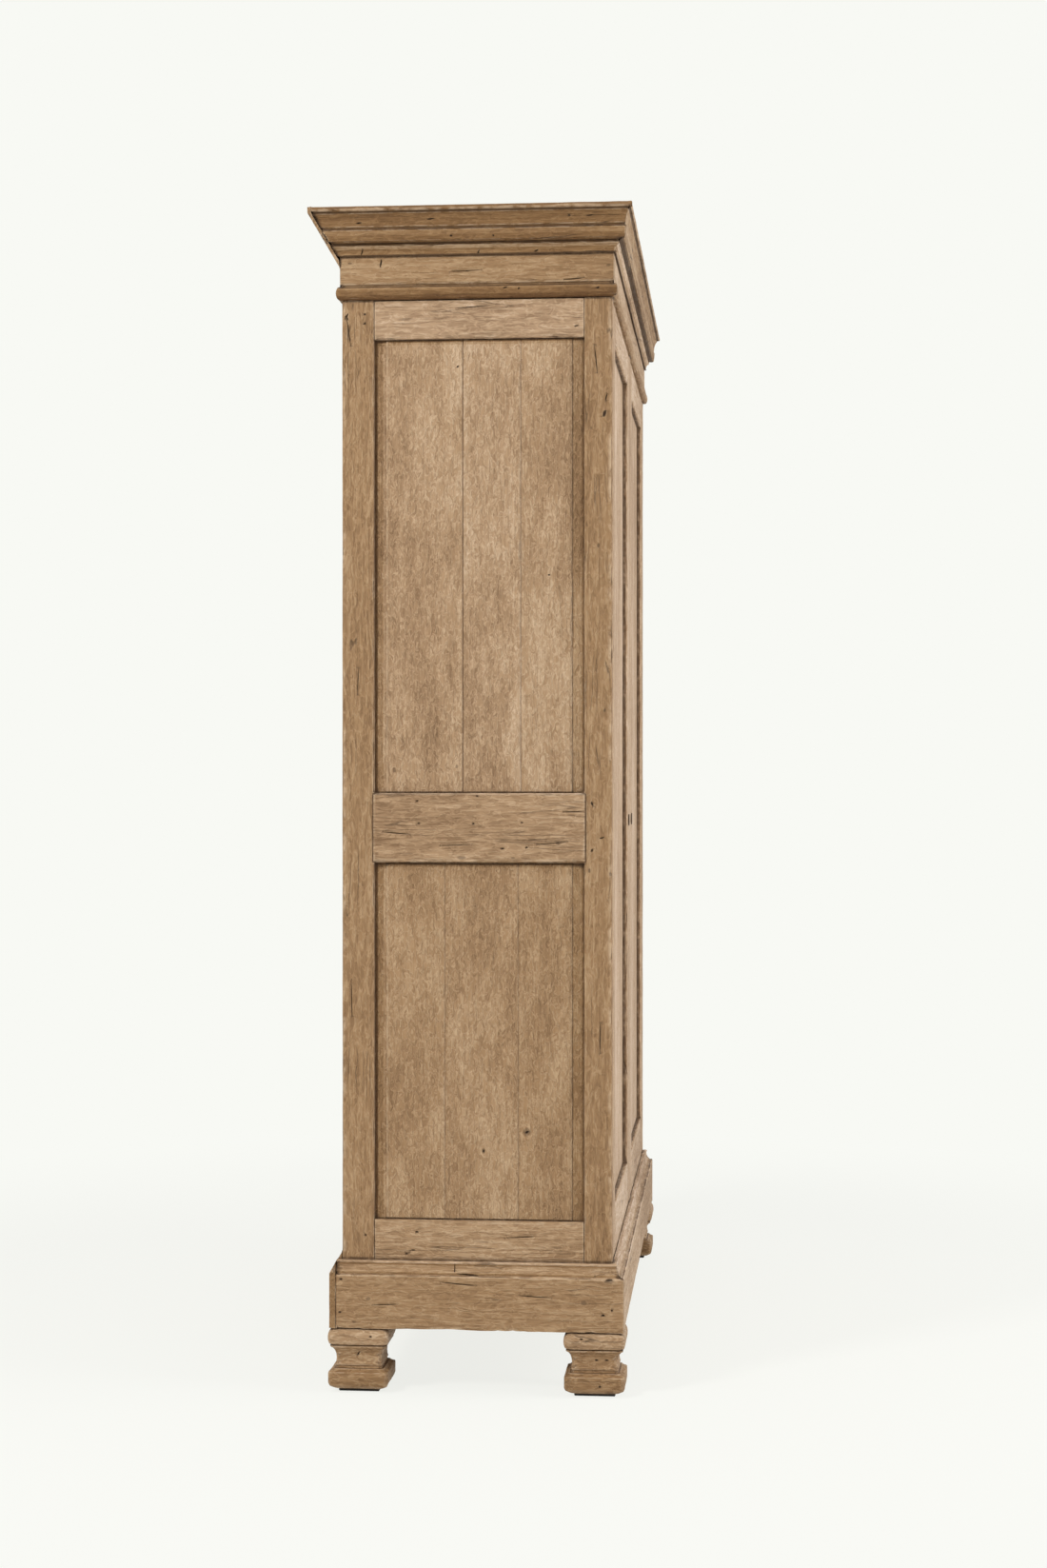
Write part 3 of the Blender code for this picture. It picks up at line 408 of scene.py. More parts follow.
def makeOak(label, changes):
    look = {**plainOak, **changes}
    finish, tree, shader = newFinish("oak" + label[0].upper() + label[1:])
    place = addNode(tree, "TexCoord").outputs["Object"]
    read = {}
    for name in ("boardSeed", "boardToneAndShade", "frontSheen", "arris", "hollow", "grimeAndShade", "flaw"):
        read[name] = addNode(tree, "Attribute", attribute_name=name).outputs["Fac"]
    bent, eyes, swirl = bendAtKnots(tree, place, look["knots"])
    turned = addNode(tree, "Mapping", {"Vector": bent, "Rotation": grainTurn[look["turn"]]}).outputs[0]
    grain = addNode(tree, "Group", node_tree=grainGroup, inputs={
        "Grain": turned, "Seed": read["boardSeed"],
        "Figure": look["figure"], "Rings": look["rings"],
        "Curls": look["curls"], "Curl Scale": look["curlScale"],
        "Stain": look["stain"], "Cracks": look["cracks"],
    }).outputs
    wearShade = addNode(tree, "Group", node_tree=wearShadeGroup, inputs={
        "Place": place, "Arris": read["arris"], "GrimeAndShade": read["grimeAndShade"],
        "Hollow": calc(tree, "MULTIPLY", read["hollow"], look["seams"]),
    }).outputs
    tone = grain["Tone"]
    flaws = calc(tree, "MAXIMUM", grain["Dark"], read["flaw"])
    if look["knots"]:
        tone = calc(tree, "MULTIPLY_ADD", swirl, oakSurface["swirlTone"], tone, True)
        flaws = calc(tree, "MAXIMUM", flaws, calc(tree, "MULTIPLY", eyes, oakSurface["eyeShare"]))
    colour = colourOak(tree, tone, read["boardToneAndShade"], read["frontSheen"])
    for name, mask in (("arris", wearShade["Pale"]), ("dirtAndShade", wearShade["DirtAndShade"]), ("check", flaws)):
        share = calc(tree, "MULTIPLY", mask, oakSurface[name + "Share"])
        colour = mixColours(tree, share, colour, oakColours[name])
    relief = addNode(tree, "Bump", {
        "Height": grain["Height"],
        "Strength": oakSurface["reliefStrength"],
        "Distance": oakSurface["reliefDepth"],
    })
    tree.links.new(colour, shader["Base Color"])
    tree.links.new(remap(tree, tone, 0.0, 1.0, *oakSurface["roughness"]), shader["Roughness"])
    tree.links.new(relief.outputs[0], shader["Normal"])
    shader["Specular IOR Level"].default_value = oakSurface["specular"]
    return finish


# knots seen on the left end: place and size
panelKnots = (
    ((-0.682, -0.103, 0.484), (0.02, 0.0085, 0.0105)),
    ((-0.682, -0.0219, 0.448), (0.02, 0.0045, 0.0065)),
    ((-0.682, 0.145, 1.155), (0.02, 0.004, 0.0055)),
    ((-0.682, 0.0277, 1.162), (0.02, 0.0035, 0.005)),
)
endKnots = (
    ((-0.712, -0.257, 0.216), (0.030, 0.012, 0.006)),
    ((-0.712, 0.190, 0.176), (0.030, 0.006, 0.004)),
    ((-0.712, -0.210, 0.175), (0.030, 0.007, 0.005)),
    ((-0.692, 0.0178, 0.993), (0.02, 0.011, 0.004)),
    ((-0.692, -0.058, 1.010), (0.02, 0.005, 0.003)),
)
postKnots = (
    ((-0.690, 0.233, 1.995), (0.02, 0.0045, 0.007)),
    ((-0.690, -0.247, 1.812), (0.02, 0.0045, 0.007)),
)
oakLooks = {
    "upright": {
        "turn": "upright", "figure": (40.0, 40.0, 5.0), "curls": 0.75, "stain": 0.6, "cracks": 0.7,
        "knots": postKnots,
    },
    "panel": {
        "turn": "upright", "figure": (18.0, 18.0, 6.0), "rings": 3.0, "curls": 1.0,
        "curlScale": (136.0, 136.0, 62.0), "stain": 0.8, "cracks": 0.25, "knots": panelKnots, "seams": 0.5,
    },
    "doorPanel": {
        "turn": "upright", "figure": (26.0, 26.0, 2.6), "rings": 5.0, "curls": 0.8,
        "stain": 0.8, "cracks": 0.3,
    },
    "endBoard": {"turn": "alongEnd", "figure": (44.0, 44.0, 5.0), "cracks": 0.6, "knots": endKnots},
    "frontBoard": {"turn": "alongFront", "cracks": 0.7},
    "endMoulding": {"turn": "alongEnd"},
    "frontMoulding": {"turn": "alongFront"},
    "foot": {"turn": "alongEnd", "figure": (44.0, 44.0, 12.0), "rings": 5.0, "curls": 1.0, "stain": 1.1},
    "inside": {"turn": "alongFront", "figure": (20.0, 20.0, 2.2), "rings": 8.0, "curls": 0.4, "cracks": 0.3},
    "backBoard": {"turn": "upright", "figure": (20.0, 20.0, 2.2), "rings": 8.0, "curls": 0.4, "cracks": 0.4},
}
finishes = {label: makeOak(label, look) for label, look in oakLooks.items()}
print("oak finishes made:", len(finishes))


# pieces of oak: each is cut from its solid, sliced into a fine grid and worn
axes = {"x": 0, "y": 1, "z": 2}
meshLook = {
    "merge": 0.00002,
    "flatAngle": math.radians(0.4),
    "smoothAngle": math.radians(32),
    "onPlane": 0.000001,
}
arrisLook = {"leastAngle": math.radians(14), "fullAngle": math.radians(48)}
jointLook = {"reach": 0.0022, "wearShare": 0.16}
wearLook = {
    "seedShift": (7.1, 3.7, 5.3),
    "sagScale": 6.0,
    "dentScale": 41.0,
    "biteScale": 17.0,
    "biteMore": 0.25,
    "biteShare": 1.1,
    "nickScale": 63.0,
    "nickLess": 0.12,
    "nickShare": 1.6,
}
grooveLook = {"half": 0.0015, "slack": 1.2, "reach": 0.0036, "depth": 0.0026}
boardLook = {"seedTurn": 0.618, "seedRise": 0.11, "seedStep": 0.37, "tones": (1.0, 1.025, 0.98)}
# a mark is cut with a cone, which is as wide at the surface as the mark's sizes say
markLook = {
    "depth": 0.003,
    "wide": 1.5,
    "narrow": 0.5,
    "length": 2.0,
    "sides": 9,
    "stain": 1.2,  # how far the dark reaches, as a squared share of the mark
    "rightmost": -0.6,  # marks are on the left end alone
}


def selectOnly(*pieces):
    bpy.ops.object.select_all(action="DESELECT")
    for piece in pieces:
        piece.select_set(True)
    bpy.context.view_layer.objects.active = pieces[0]


def reachOf(node, axis):
    low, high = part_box(node)
    return low[axes[axis]], high[axes[axis]]


def makeTree(meshes):
    corners = []
    faces = []
    owners = []
    for owner, mesh in meshes.items():
        start = len(corners)
        corners.extend(corner.co for corner in mesh.vertices)
        faces.extend([start + index for index in face.vertices] for face in mesh.polygons)
        owners.extend(owner for _ in mesh.polygons)
    return BVHTree.FromPolygons(corners, faces), owners


solidTree, solidOwners = makeTree({node: solid.data for node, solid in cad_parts.items()})


def startPiece(node):
    piece = bpy.data.objects.new("oak_" + node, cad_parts[node].data.copy())
    bpy.context.scene.collection.objects.link(piece)
    selectOnly(piece)
    bpy.ops.object.mode_set(mode="EDIT")
    bpy.ops.mesh.select_all(action="SELECT")
    bpy.ops.mesh.remove_doubles(threshold=meshLook["merge"])
    bpy.ops.mesh.dissolve_limited(angle_limit=meshLook["flatAngle"])
    bpy.ops.object.mode_set(mode="OBJECT")
    return piece


def cutFaces(shape, faces, axis, places):
    # halves a board again and again, so that each cut meets few faces
    if not places or not faces:
        return
    middle = len(places) // 2
    point = Vector((0.0, 0.0, 0.0))
    normal = Vector((0.0, 0.0, 0.0))
    point[axis] = places[middle]
    normal[axis] = 1.0
    met = set(faces)
    for face in faces:
        met.update(face.edges)
        met.update(face.verts)
    made = bmesh.ops.bisect_plane(
        shape, geom=list(met), plane_co=point, plane_no=normal, dist=meshLook["onPlane"],
    )
    low = []
    high = []
    for item in made["geom"]:
        if isinstance(item, bmesh.types.BMFace):
            side = low if item.calc_center_median()[axis] < places[middle] else high
            side.append(item)
    cutFaces(shape, low, axis, places[:middle])
    cutFaces(shape, high, axis, places[middle + 1:])


def slicePiece(piece, node, look):
    half, reach = grooveLook["half"], grooveLook["reach"]
    lines = list(look["lines"])
    for letter, middle, _ in look["grooves"]:
        lines.extend((letter, middle + step) for step in (-reach, -half, half, reach))
    shape = bmesh.new()
    shape.from_mesh(piece.data)
    for letter, axis in axes.items():
        low, high = reachOf(node, letter)
        first = low + look["margin"]
        last = high - look["margin"]
        step = look["grid"][axis]
        places = [place for lineLetter, place in lines if lineLetter == letter]
        if step and last > first:
            count = max(1, round((last - first) / step))
            places.extend(first + (last - first) * index / count for index in range(count + 1))
        cutFaces(shape, list(shape.faces), axis, sorted(places))
    shape.to_mesh(piece.data)
    shape.free()


def edgeShares(mesh):
    # how much of an arris or of a hollow each corner is
    least = arrisLook["leastAngle"]
    shape = bmesh.new()
    shape.from_mesh(mesh)
    arris = [0.0] * len(shape.verts)
    hollow = [0.0] * len(shape.verts)
    for edge in shape.edges:
        angle = edge.calc_face_angle_signed(0.0)
        share = min(1.0, max(0.0, (abs(angle) - least) / (arrisLook["fullAngle"] - least)))
        target = arris if angle > 0 else hollow
        for corner in edge.verts:
            target[corner.index] = max(target[corner.index], share)
    shape.free()
    return arris, hollow


def besideNeighbour(node, place):
    found = solidTree.find_nearest_range(place, jointLook["reach"])
    return any(solidOwners[index] != node for _, _, index, _ in found)


def roundCorner(place, low, high, radius):
    # pulls a point near a corner of the board onto a rounded one
    flat = (axes["y"], axes["z"])
    away = [min(place[axis] - low[axis], high[axis] - place[axis]) for axis in flat]
    inner = [radius - gap for gap in away]
    if min(inner) <= 0.0 or math.hypot(*inner) <= radius:
        return place
    share = radius / math.hypot(*inner)
    moved = place.copy()
    for axis, gap, reach in zip(flat, away, inner):
        pull = radius - reach * share - gap
        moved[axis] += pull if place[axis] - low[axis] < high[axis] - place[axis] else -pull
    return moved


def softNoise(place, scale):
    return 0.5 + 0.5 * noise.noise(place * scale)


def wearDepth(place, edge, wear):
    depth = wear["sag"] * softNoise(place, wearLook["sagScale"])
    depth += wear["dent"] * softNoise(place, wearLook["dentScale"])
    if edge:
        bite = max(0.0, noise.noise(place * wearLook["biteScale"]) + wearLook["biteMore"])
        nick = max(0.0, noise.noise(place * wearLook["nickScale"]) - wearLook["nickLess"])
        chips = wearLook["biteShare"] * bite * bite + wearLook["nickShare"] * nick
        depth += edge * (wear["ease"] + wear["chip"] * chips)
    return depth


def wearPiece(piece, node, seed, look):
    # all moves go inwards, so that a piece stays inside its solid
    mesh = piece.data
    radius = look["cornerRadius"]
    arris, _ = edgeShares(mesh)
    low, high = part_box(node)
    shift = Vector([seed * step for step in wearLook["seedShift"]])
    moved = []
    for corner in mesh.vertices:
        edge = arris[corner.index]
        depth = wearDepth(corner.co + shift, edge, look["wear"])
        if edge and besideNeighbour(node, corner.co):
            depth *= jointLook["wearShare"]
        for letter, middle, share in look["grooves"]:
            if abs(corner.co[axes[letter]] - middle) < grooveLook["half"] * grooveLook["slack"]:
                depth += grooveLook["depth"] * share
        place = roundCorner(corner.co, low, high, radius) if radius else corner.co
        place = place - corner.normal * depth
        moved.extend(min(high[axis], max(low[axis], place[axis])) for axis in axes.values())
    mesh.vertices.foreach_set("co", moved)
    mesh.update()


def addCutter(surface, y, z, halfLength, halfWidth, tilt):
    # a thin oval cone, whose wide end faces the end's side
    turn = math.radians(tilt)
    bpy.ops.object.select_all(action="DESELECT")
    bpy.ops.mesh.primitive_cone_add(
        vertices=markLook["sides"], radius1=markLook["wide"], radius2=markLook["narrow"],
        depth=markLook["length"], location=(0.0, 0.0, 0.0),
    )
    cutter = bpy.context.active_object
    for corner in cutter.data.vertices:
        across, along, deep = corner.co
        lengthwise = along * halfLength
        sideways = across * halfWidth
        corner.co = (
            surface + deep * markLook["depth"],
            y - lengthwise * math.cos(turn) + sideways * math.sin(turn),
            z + lengthwise * math.sin(turn) + sideways * math.cos(turn),
        )
    return cutter


def cutMarks(piece, marks):
    # holes, checks and old joints
    tree, _ = makeTree({piece.name: piece.data})
    cutters = []
    for y, z, *sizes in marks:
        hit = tree.ray_cast(Vector((cadBounds[0][0], y, z)), Vector((1.0, 0.0, 0.0)))[0]
        cutters.append(addCutter(hit.x, y, z, *sizes))
    selectOnly(*cutters)
    bpy.ops.object.join()
    joined = bpy.context.active_object
    bpy.ops.object.mode_set(mode="EDIT")
    bpy.ops.mesh.select_all(action="SELECT")
    bpy.ops.mesh.normals_make_consistent(inside=False)
    bpy.ops.object.mode_set(mode="OBJECT")
    cut = piece.modifiers.new("marks", "BOOLEAN")
    cut.operation = "DIFFERENCE"
    cut.solver = "MANIFOLD"
    cut.object = joined
    selectOnly(piece)
    bpy.ops.object.modifier_apply(modifier=cut.name)
    bpy.data.objects.remove(joined)


def writeAttribute(mesh, label, values, domain="POINT"):
    stored = mesh.attributes.new(label, "FLOAT", domain)
    stored.data.foreach_set("value", values)


def tellBoards(mesh, seed, look):
    # a panel of several boards gets a seed and a tone for each board
    seeds = []
    tones = []
    for face in mesh.polygons:
        index = sum(1 for letter, joint in look["joints"] if face.center[axes[letter]] < joint)
        tone = look["tone"]
        if look["joints"]:
            tone *= boardLook["tones"][index % len(boardLook["tones"])]
        # zones are bands of tone, mostly painted light and shade
        for letter, low, high, share in look["zones"]:
            if low < face.center[axes[letter]] < high:
                tone *= share
        seeds.append(seed + index * boardLook["seedStep"])
        tones.append(tone)
    writeAttribute(mesh, "boardSeed", seeds, "FACE")
    writeAttribute(mesh, "boardToneAndShade", tones, "FACE")
    # faces turned to the front get a painted sheen that greys them
    writeAttribute(mesh, "frontSheen", [max(0.0, -face.normal.y) for face in mesh.polygons], "FACE")


# wear in metres: slow sag, dents, chips along arrises, and the arris eased all along
light = {"sag": 0.0004, "dent": 0.0003, "chip": 0.0009, "ease": 0.0002}
worn = {"sag": 0.0007, "dent": 0.0006, "chip": 0.0019, "ease": 0.0005}
rounded = {"sag": 0.0007, "dent": 0.0006, "chip": 0.0017, "ease": 0.0017}
rough = {"sag": 0.0007, "dent": 0.0009, "chip": 0.0020, "ease": 0.0008}

# what a piece's dictionary can change
plainWood = {
    "margin": 0.003,
    "wear": worn,
    "lines": (),  # more slices: axis and place
    "grooves": (),  # axis, place and share of the full depth
    "joints": (),  # where a panel's boards meet: axis and place
    "zones": (),  # axis, low, high and share of tone, mostly bands of painted light and shade
    "leftMarks": (),  # on the left end: y, z, half length, half width, tilt in degrees
    "cornerRadius": 0.0,
}
woods = {}


def makeWood(node, body, changes):
    look = {**plainWood, **changes}
    order = len(woods)
    seed = (order * boardLook["seedTurn"]) % 1.0 + order * boardLook["seedRise"]
    marks = look["leftMarks"] if "left" in node.split("_") else ()
    piece = startPiece(node)
    slicePiece(piece, node, look)
    wearPiece(piece, node, seed, look)
    if marks:
        cutMarks(piece, marks)
    tellBoards(piece.data, seed, look)
    piece.data.materials.clear()  # drops the solid's own slot
    piece.data.materials.append(finishes[look["finish"]])
    selectOnly(piece)
    bpy.ops.object.shade_smooth_by_angle(angle=meshLook["smoothAngle"])
    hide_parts(node)
    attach(piece, body)
    woods[node] = {"piece": piece, "body": body, "marks": marks}


# inner edges of the end's frame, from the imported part
_, frontSight = reachOf("left_front_post", "y")
backSight, _ = reachOf("left_back_post", "y")
_, lowerFoot = reachOf("left_bottom_rail", "z")
railFoot, railHead = reachOf("left_middle_rail", "z")
upperHead, _ = reachOf("left_top_rail", "z")

# posts, sliced beside the ends of the middle rail, which lap them
lap = {"reach": 0.0055, "besideEnd": 0.0080, "besideEdge": 0.003}
post = {
    "finish": "upright",
    "slot": "oak_frame",
    "grid": (0.011, 0.011, 0.008),
    "lines": (
        ("y", frontSight - lap["reach"]), ("y", frontSight - lap["besideEnd"]),
        ("y", backSight + lap["reach"]), ("y", backSight + lap["besideEnd"]),
        ("z", railFoot - lap["besideEdge"]), ("z", railFoot),
        ("z", railHead), ("z", railHead + lap["besideEdge"]),
    ),
}
posts = {
    "front": {
        **post,
        "tone": 0.760,
        "leftMarks": (
            (-0.247, 1.812, 0.0065, 0.0030, 70), (-0.250, 1.842, 0.0070, 0.0012, 75),
            (-0.224, 1.093, 0.0040, 0.0020, 110), (-0.224, 1.007, 0.0030, 0.0016, 80),
            (-0.231, 1.912, 0.0270, 0.0010, 96), (-0.242, 1.030, 0.0045, 0.0014, 15),
            (-0.239, 0.660, 0.0300, 0.0008, 90),
        ),
    },
    "back": {
        **post,
        "tone": 0.775,
        "leftMarks": (
            (0.199, 2.001, 0.0018, 0.0017, 0), (0.199, 1.984, 0.0020, 0.0017, 40),
            (0.233, 1.998, 0.0065, 0.0016, 60), (0.229, 1.970, 0.0300, 0.0009, 98),
            (0.198, 0.290, 0.0017, 0.0015, 0), (0.212, 1.320, 0.0260, 0.0008, 88),
            (0.224, 0.730, 0.0350, 0.0008, 91),
        ),
    },
}

# feet: a block, a waist and a roll, with grime and painted shade in the grooves between them; the roll is
# painted lighter and the block darker
blockHead = 0.0475
waistHead = 0.0860
foot = {
    "finish": "foot",
    "slot": "oak_frame",
    "grid": (0.009, 0.009, 0.006),
    "margin": 0.012,
    "wear": rough,
    "tone": 0.80,
    "grooves": (("z", blockHead, 1.2), ("z", waistHead, 0.9)),
    # painted lighter on the roll, darker on the block
    "zones": (("z", waistHead, math.inf, 1.17), ("z", -math.inf, blockHead, 0.87)),
}
feet = {
    "front": {
        **foot,
        "leftMarks": (
            (-0.206, 0.109, 0.0030, 0.0016, 0), (-0.233, 0.068, 0.0030, 0.0017, 0),
            (-0.252, 0.068, 0.0030, 0.0016, 0), (-0.240, 0.022, 0.0022, 0.0018, 0),
        ),
    },
    "back": {
        **foot,
        "leftMarks": ((0.210, 0.071, 0.0045, 0.0016, 60), (0.185, 0.106, 0.0025, 0.0016, 0)),
    },
}

# rails of the ends; the middle one stands proud, with round corners, a pale upper arris painted as a
# highlight, and painted shadow along its lower edge
rail = {"finish": "endBoard", "slot": "oak_frame", "grid": (0.013, 0.007, 0.009)}
paintedHighlightFrom = railHead - 0.0045
paintedShadowTo = railFoot + 0.003
rails = {
    "top": {
        **rail,
        "tone": 1.10,
        "leftMarks": ((-0.002, 2.012, 0.0340, 0.0009, 4), (-0.195, 1.974, 0.0040, 0.0014, 10)),
    },
    "middle": {
        **rail,
        "tone": 0.965,
        "wear": rounded,
        "cornerRadius": 0.007,
        "lines": (("z", paintedHighlightFrom), ("z", paintedShadowTo)),
        # painted highlight along the top, painted shadow along the bottom
        "zones": (("z", paintedHighlightFrom, math.inf, 1.22), ("z", -math.inf, paintedShadowTo, 0.80)),
        "leftMarks": (
            (0.030, 1.016, 0.0300, 0.0007, 3), (-0.189, 1.078, 0.0200, 0.0010, 1),
            (0.101, 1.098, 0.0022, 0.0014, 0), (-0.011, 1.107, 0.0022, 0.0013, 0),
            (0.098, 1.056, 0.0024, 0.0014, 0), (-0.004, 1.056, 0.0024, 0.0014, 0),
            (-0.094, 1.058, 0.0024, 0.0014, 0), (-0.058, 1.010, 0.0026, 0.0015, 0),
            (-0.103, 1.012, 0.0026, 0.0015, 20), (0.140, 1.038, 0.0280, 0.0009, -4),
            (-0.150, 1.020, 0.0300, 0.0008, 5),
        ),
    },
    "bottom": {
        **rail,
        "tone": 0.91,
        "leftMarks": (
            (0.102, 0.297, 0.0030, 0.0016, 0), (0.109, 0.263, 0.0040, 0.0014, 0),
            (0.121, 0.256, 0.0030, 0.0013, 0), (-0.090, 0.290, 0.0300, 0.0008, 3),
        ),
    },
}
sides = ("left", "right")
for side in sides:
    for which in ("front", "back"):
        makeWood(f"{side}_{which}_post", "carcass", posts[which])
        makeWood(f"{side}_{which}_foot", "carcass", feet[which])
    for which, look in rails.items():
        makeWood(f"{side}_{which}_rail", "carcass", look)
print("frames of the ends made")

# panels of the ends: margins beside the posts, painted darker, and painted shadow strips where the frame
# shades them
sightSteps = (0.0, 0.0045, 0.009)
_, nearEdge, offEdge = sightSteps
jointHalf = 0.0028
frontMargin = frontSight + 0.022
backMargin = backSight - 0.0135
marginShadeZones = (
    ("y", frontSight, frontMargin, 0.85), ("y", frontSight, frontSight + nearEdge, 0.72),
    ("y", backMargin, backSight - nearEdge, 0.78), ("y", backSight - nearEdge, backSight, 0.38),
)


def sightLines(bottom, top, joints):
    lines = []
    for step in sightSteps:
        lines += [("y", frontSight + step), ("y", backSight - step), ("z", bottom + step), ("z", top - step)]
    for letter, joint in joints:
        lines += [(letter, joint - jointHalf), (letter, joint + jointHalf)]
    return lines


def panelLook(bottom, top, joints, shade, fade, **others):
    return {
        "finish": "panel",
        "slot": "oak_panel",
        "grid": (0.0, 0.009, 0.011),
        "margin": 0.004,
        "wear": light,
        "joints": joints,
        "lines": sightLines(bottom, top, joints),
        "grooves": (("y", frontMargin, 0.3), ("y", backMargin, 0.3)),
        "zones": marginShadeZones + (
            # painted shadow under the rail above: dark at the edge, fading below
            ("z", top - nearEdge, top, shade), ("z", top - offEdge, top - nearEdge, fade),
        ),
        **others,
    }


panels = {
    "upper": panelLook(
        railHead, upperHead, (("y", 0.016), ("y", -0.092)), shade=0.45, fade=0.85, tone=0.97,
        leftMarks=((0.026, 1.903, 0.0024, 0.0016, 20), (-0.144, 1.516, 0.0020, 0.0015, 0)),
    ),
    "lower": panelLook(
        lowerFoot, railFoot, (("y", 0.050), ("y", -0.087)), shade=0.52, fade=0.88, tone=0.838,
        leftMarks=((-0.103, 0.484, 0.0040, 0.0026, 30), (-0.022, 0.448, 0.0028, 0.0018, 80)),
    ),
}


# rises above or below an edge of a moulding
def groovesAt(edge, *rows):
    return tuple(("z", edge + rise, share) for rise, share in rows)


def zonesAt(edge, *rows):
    return tuple(("z", edge + low, edge + high, share) for low, high, share in rows)


# frieze, whose lower edge is a half-round neck, painted darker towards its underside as painted shade of the
# round
friezeFoot, _ = reachOf("frieze_front", "z")
neckTop = 0.0262
neckGrooves = groovesAt(friezeFoot, (neckTop, 1.0))
endFrieze = {
    "finish": "endBoard",
    "slot": "oak_frame",
    "grid": (0.0, 0.007, 0.008),
    "tone": 0.770,
    "grooves": neckGrooves,
    "zones": zonesAt(
        friezeFoot, (-math.inf, 0.0072, 0.44), (0.0072, 0.0167, 0.62), (0.0167, neckTop, 0.82),
    ),
    "leftMarks": (
        (0.168, 2.095, 0.0080, 0.0016, 80), (-0.064, 2.045, 0.0040, 0.0014, 15),
        (-0.089, 2.043, 0.0022, 0.0016, 60), (-0.235, 2.042, 0.0032, 0.0018, 15),
        (-0.190, 2.060, 0.0200, 0.0010, 4), (0.010, 2.078, 0.0300, 0.0008, 2),
    ),
}
longFrieze = {
    "finish": "frontBoard",
    "slot": "oak_frame",
    "grid": (0.009, 0.0, 0.009),
    "tone": 0.92,
    # the neck painted darker towards its underside: painted shade
    "zones": zonesAt(friezeFoot, (-math.inf, 0.0072, 0.72), (0.0072, 0.0167, 0.86)),
}
longFriezes = {"front": {**longFrieze, "grooves": neckGrooves}, "back": longFrieze}

# cornice: fine grooves between its mouldings, whose bands are painted lighter and darker: a painted
# highlight on the fillet and the ovolo's top, painted shade on the ovolo's underside; its back board is
# plain
corniceFoot, _ = reachOf("cornice_front", "z")
cornice = {
    "slot": "oak_moulding",
    "grooves": groovesAt(corniceFoot, (0.0765, 1.0), (0.0485, 0.8), (0.0235, 1.0), (0.0015, 1.0)),
    # painted light and shade on the bands of the mouldings
    "zones": zonesAt(
        corniceFoot, (0.0130, 0.0205, 1.60), (0.0020, 0.0130, 1.05), (0.0250, 0.0350, 0.88),
        (0.0350, 0.0480, 1.14), (0.0480, 0.0760, 0.93), (0.0780, math.inf, 0.95),
    ),
}
endCornice = {
    **cornice,
    "finish": "endMoulding",
    "grid": (0.012, 0.007, 0.0),
    "tone": 0.53,
    "leftMarks": (
        (0.246, 2.183, 0.0060, 0.0016, -12), (0.205, 2.164, 0.0050, 0.0013, 10),
        (0.072, 2.169, 0.0070, 0.0014, 5), (0.034, 2.138, 0.0022, 0.0018, 0),
        (-0.044, 2.137, 0.0018, 0.0015, 0), (-0.184, 2.171, 0.0018, 0.0015, 0),
        (-0.222, 2.170, 0.0060, 0.0012, 8), (0.203, 2.114, 0.0060, 0.0012, 70),
        (-0.014, 2.112, 0.0040, 0.0012, 60), (-0.121, 2.112, 0.0040, 0.0013, 20),
    ),
}
longCornices = {
    "front": {**cornice, "finish": "frontMoulding", "grid": (0.009, 0.012, 0.0), "tone": 0.66},
    "back": {"finish": "frontMoulding", "slot": "oak_moulding", "grid": (0.009, 0.009, 0.009), "tone": 0.76},
}

# plinth: a moulded upper edge, whose bands are painted lighter and darker as painted highlights and painted
# shade; the back board laps the side boards at a dark joint
_, plinthTop = reachOf("plinth_front", "z")
_, plinthLap = reachOf("plinth_left", "y")
_, plinthEnd = reachOf("plinth_back", "x")
lapJoint = plinthLap - 0.0019
darkEnd = plinthEnd - 0.012
plinth = {
    "slot": "oak_frame",
    "lines": tuple(("z", plinthTop + rise) for rise in (-0.0285, -0.0080, -0.0055)),
    "grooves": groovesAt(plinthTop, (-0.0235, 0.75)),
    # painted highlights on the moulding's bead and top, painted shade in its quirks
    "zones": zonesAt(
        plinthTop, (-0.0055, math.inf, 1.34), (-0.0080, -0.0055, 0.74), (-0.0210, -0.0080, 1.12),
        (-0.0245, -0.0210, 0.80), (-0.0285, -0.0245, 1.20),
    ),
}
endPlinth = {
    "finish": "endBoard",
    "slot": "oak_frame",
    "grid": (0.0, 0.007, 0.008),
    "tone": 0.79,
    "lines": plinth["lines"] + (("y", lapJoint),),
    "grooves": plinth["grooves"],
    "zones": plinth["zones"] + (("y", lapJoint, math.inf, 0.42),),
    "leftMarks": (
        (0.241, 0.211, 0.0022, 0.0017, 0), (0.243, 0.150, 0.0022, 0.0017, 0),
        (-0.246, 0.153, 0.0030, 0.0020, 0), (-0.262, 0.162, 0.0020, 0.0016, 0),
        (0.023, 0.206, 0.0340, 0.0010, -5), (0.030, 0.233, 0.0090, 0.0009, 90),
        (0.009, 0.222, 0.0200, 0.0011, -3), (-0.257, 0.218, 0.0070, 0.0028, 12),
        (0.160, 0.165, 0.0250, 0.0009, 3), (-0.120, 0.185, 0.0300, 0.0009, -3),
    ),
}
longPlinths = {
    "front": {**plinth, "finish": "frontBoard", "grid": (0.009, 0.010, 0.009), "tone": 0.90},
    "back": {
        "finish": "frontBoard",
        "slot": "oak_frame",
        "grid": (0.009, 0.010, 0.009),
        "tone": 0.72,
        "lines": (("x", -darkEnd), ("x", darkEnd)),
        "zones": (("x", -math.inf, -darkEnd, 0.84), ("x", darkEnd, math.inf, 0.84)),
    },
}
for side in sides:
    for which, look in panels.items():
        makeWood(f"{side}_{which}_panel", "carcass", look)
    makeWood(f"frieze_{side}", "carcass", endFrieze)
    makeWood(f"cornice_{side}", "carcass", endCornice)
    makeWood(f"plinth_{side}", "carcass", endPlinth)
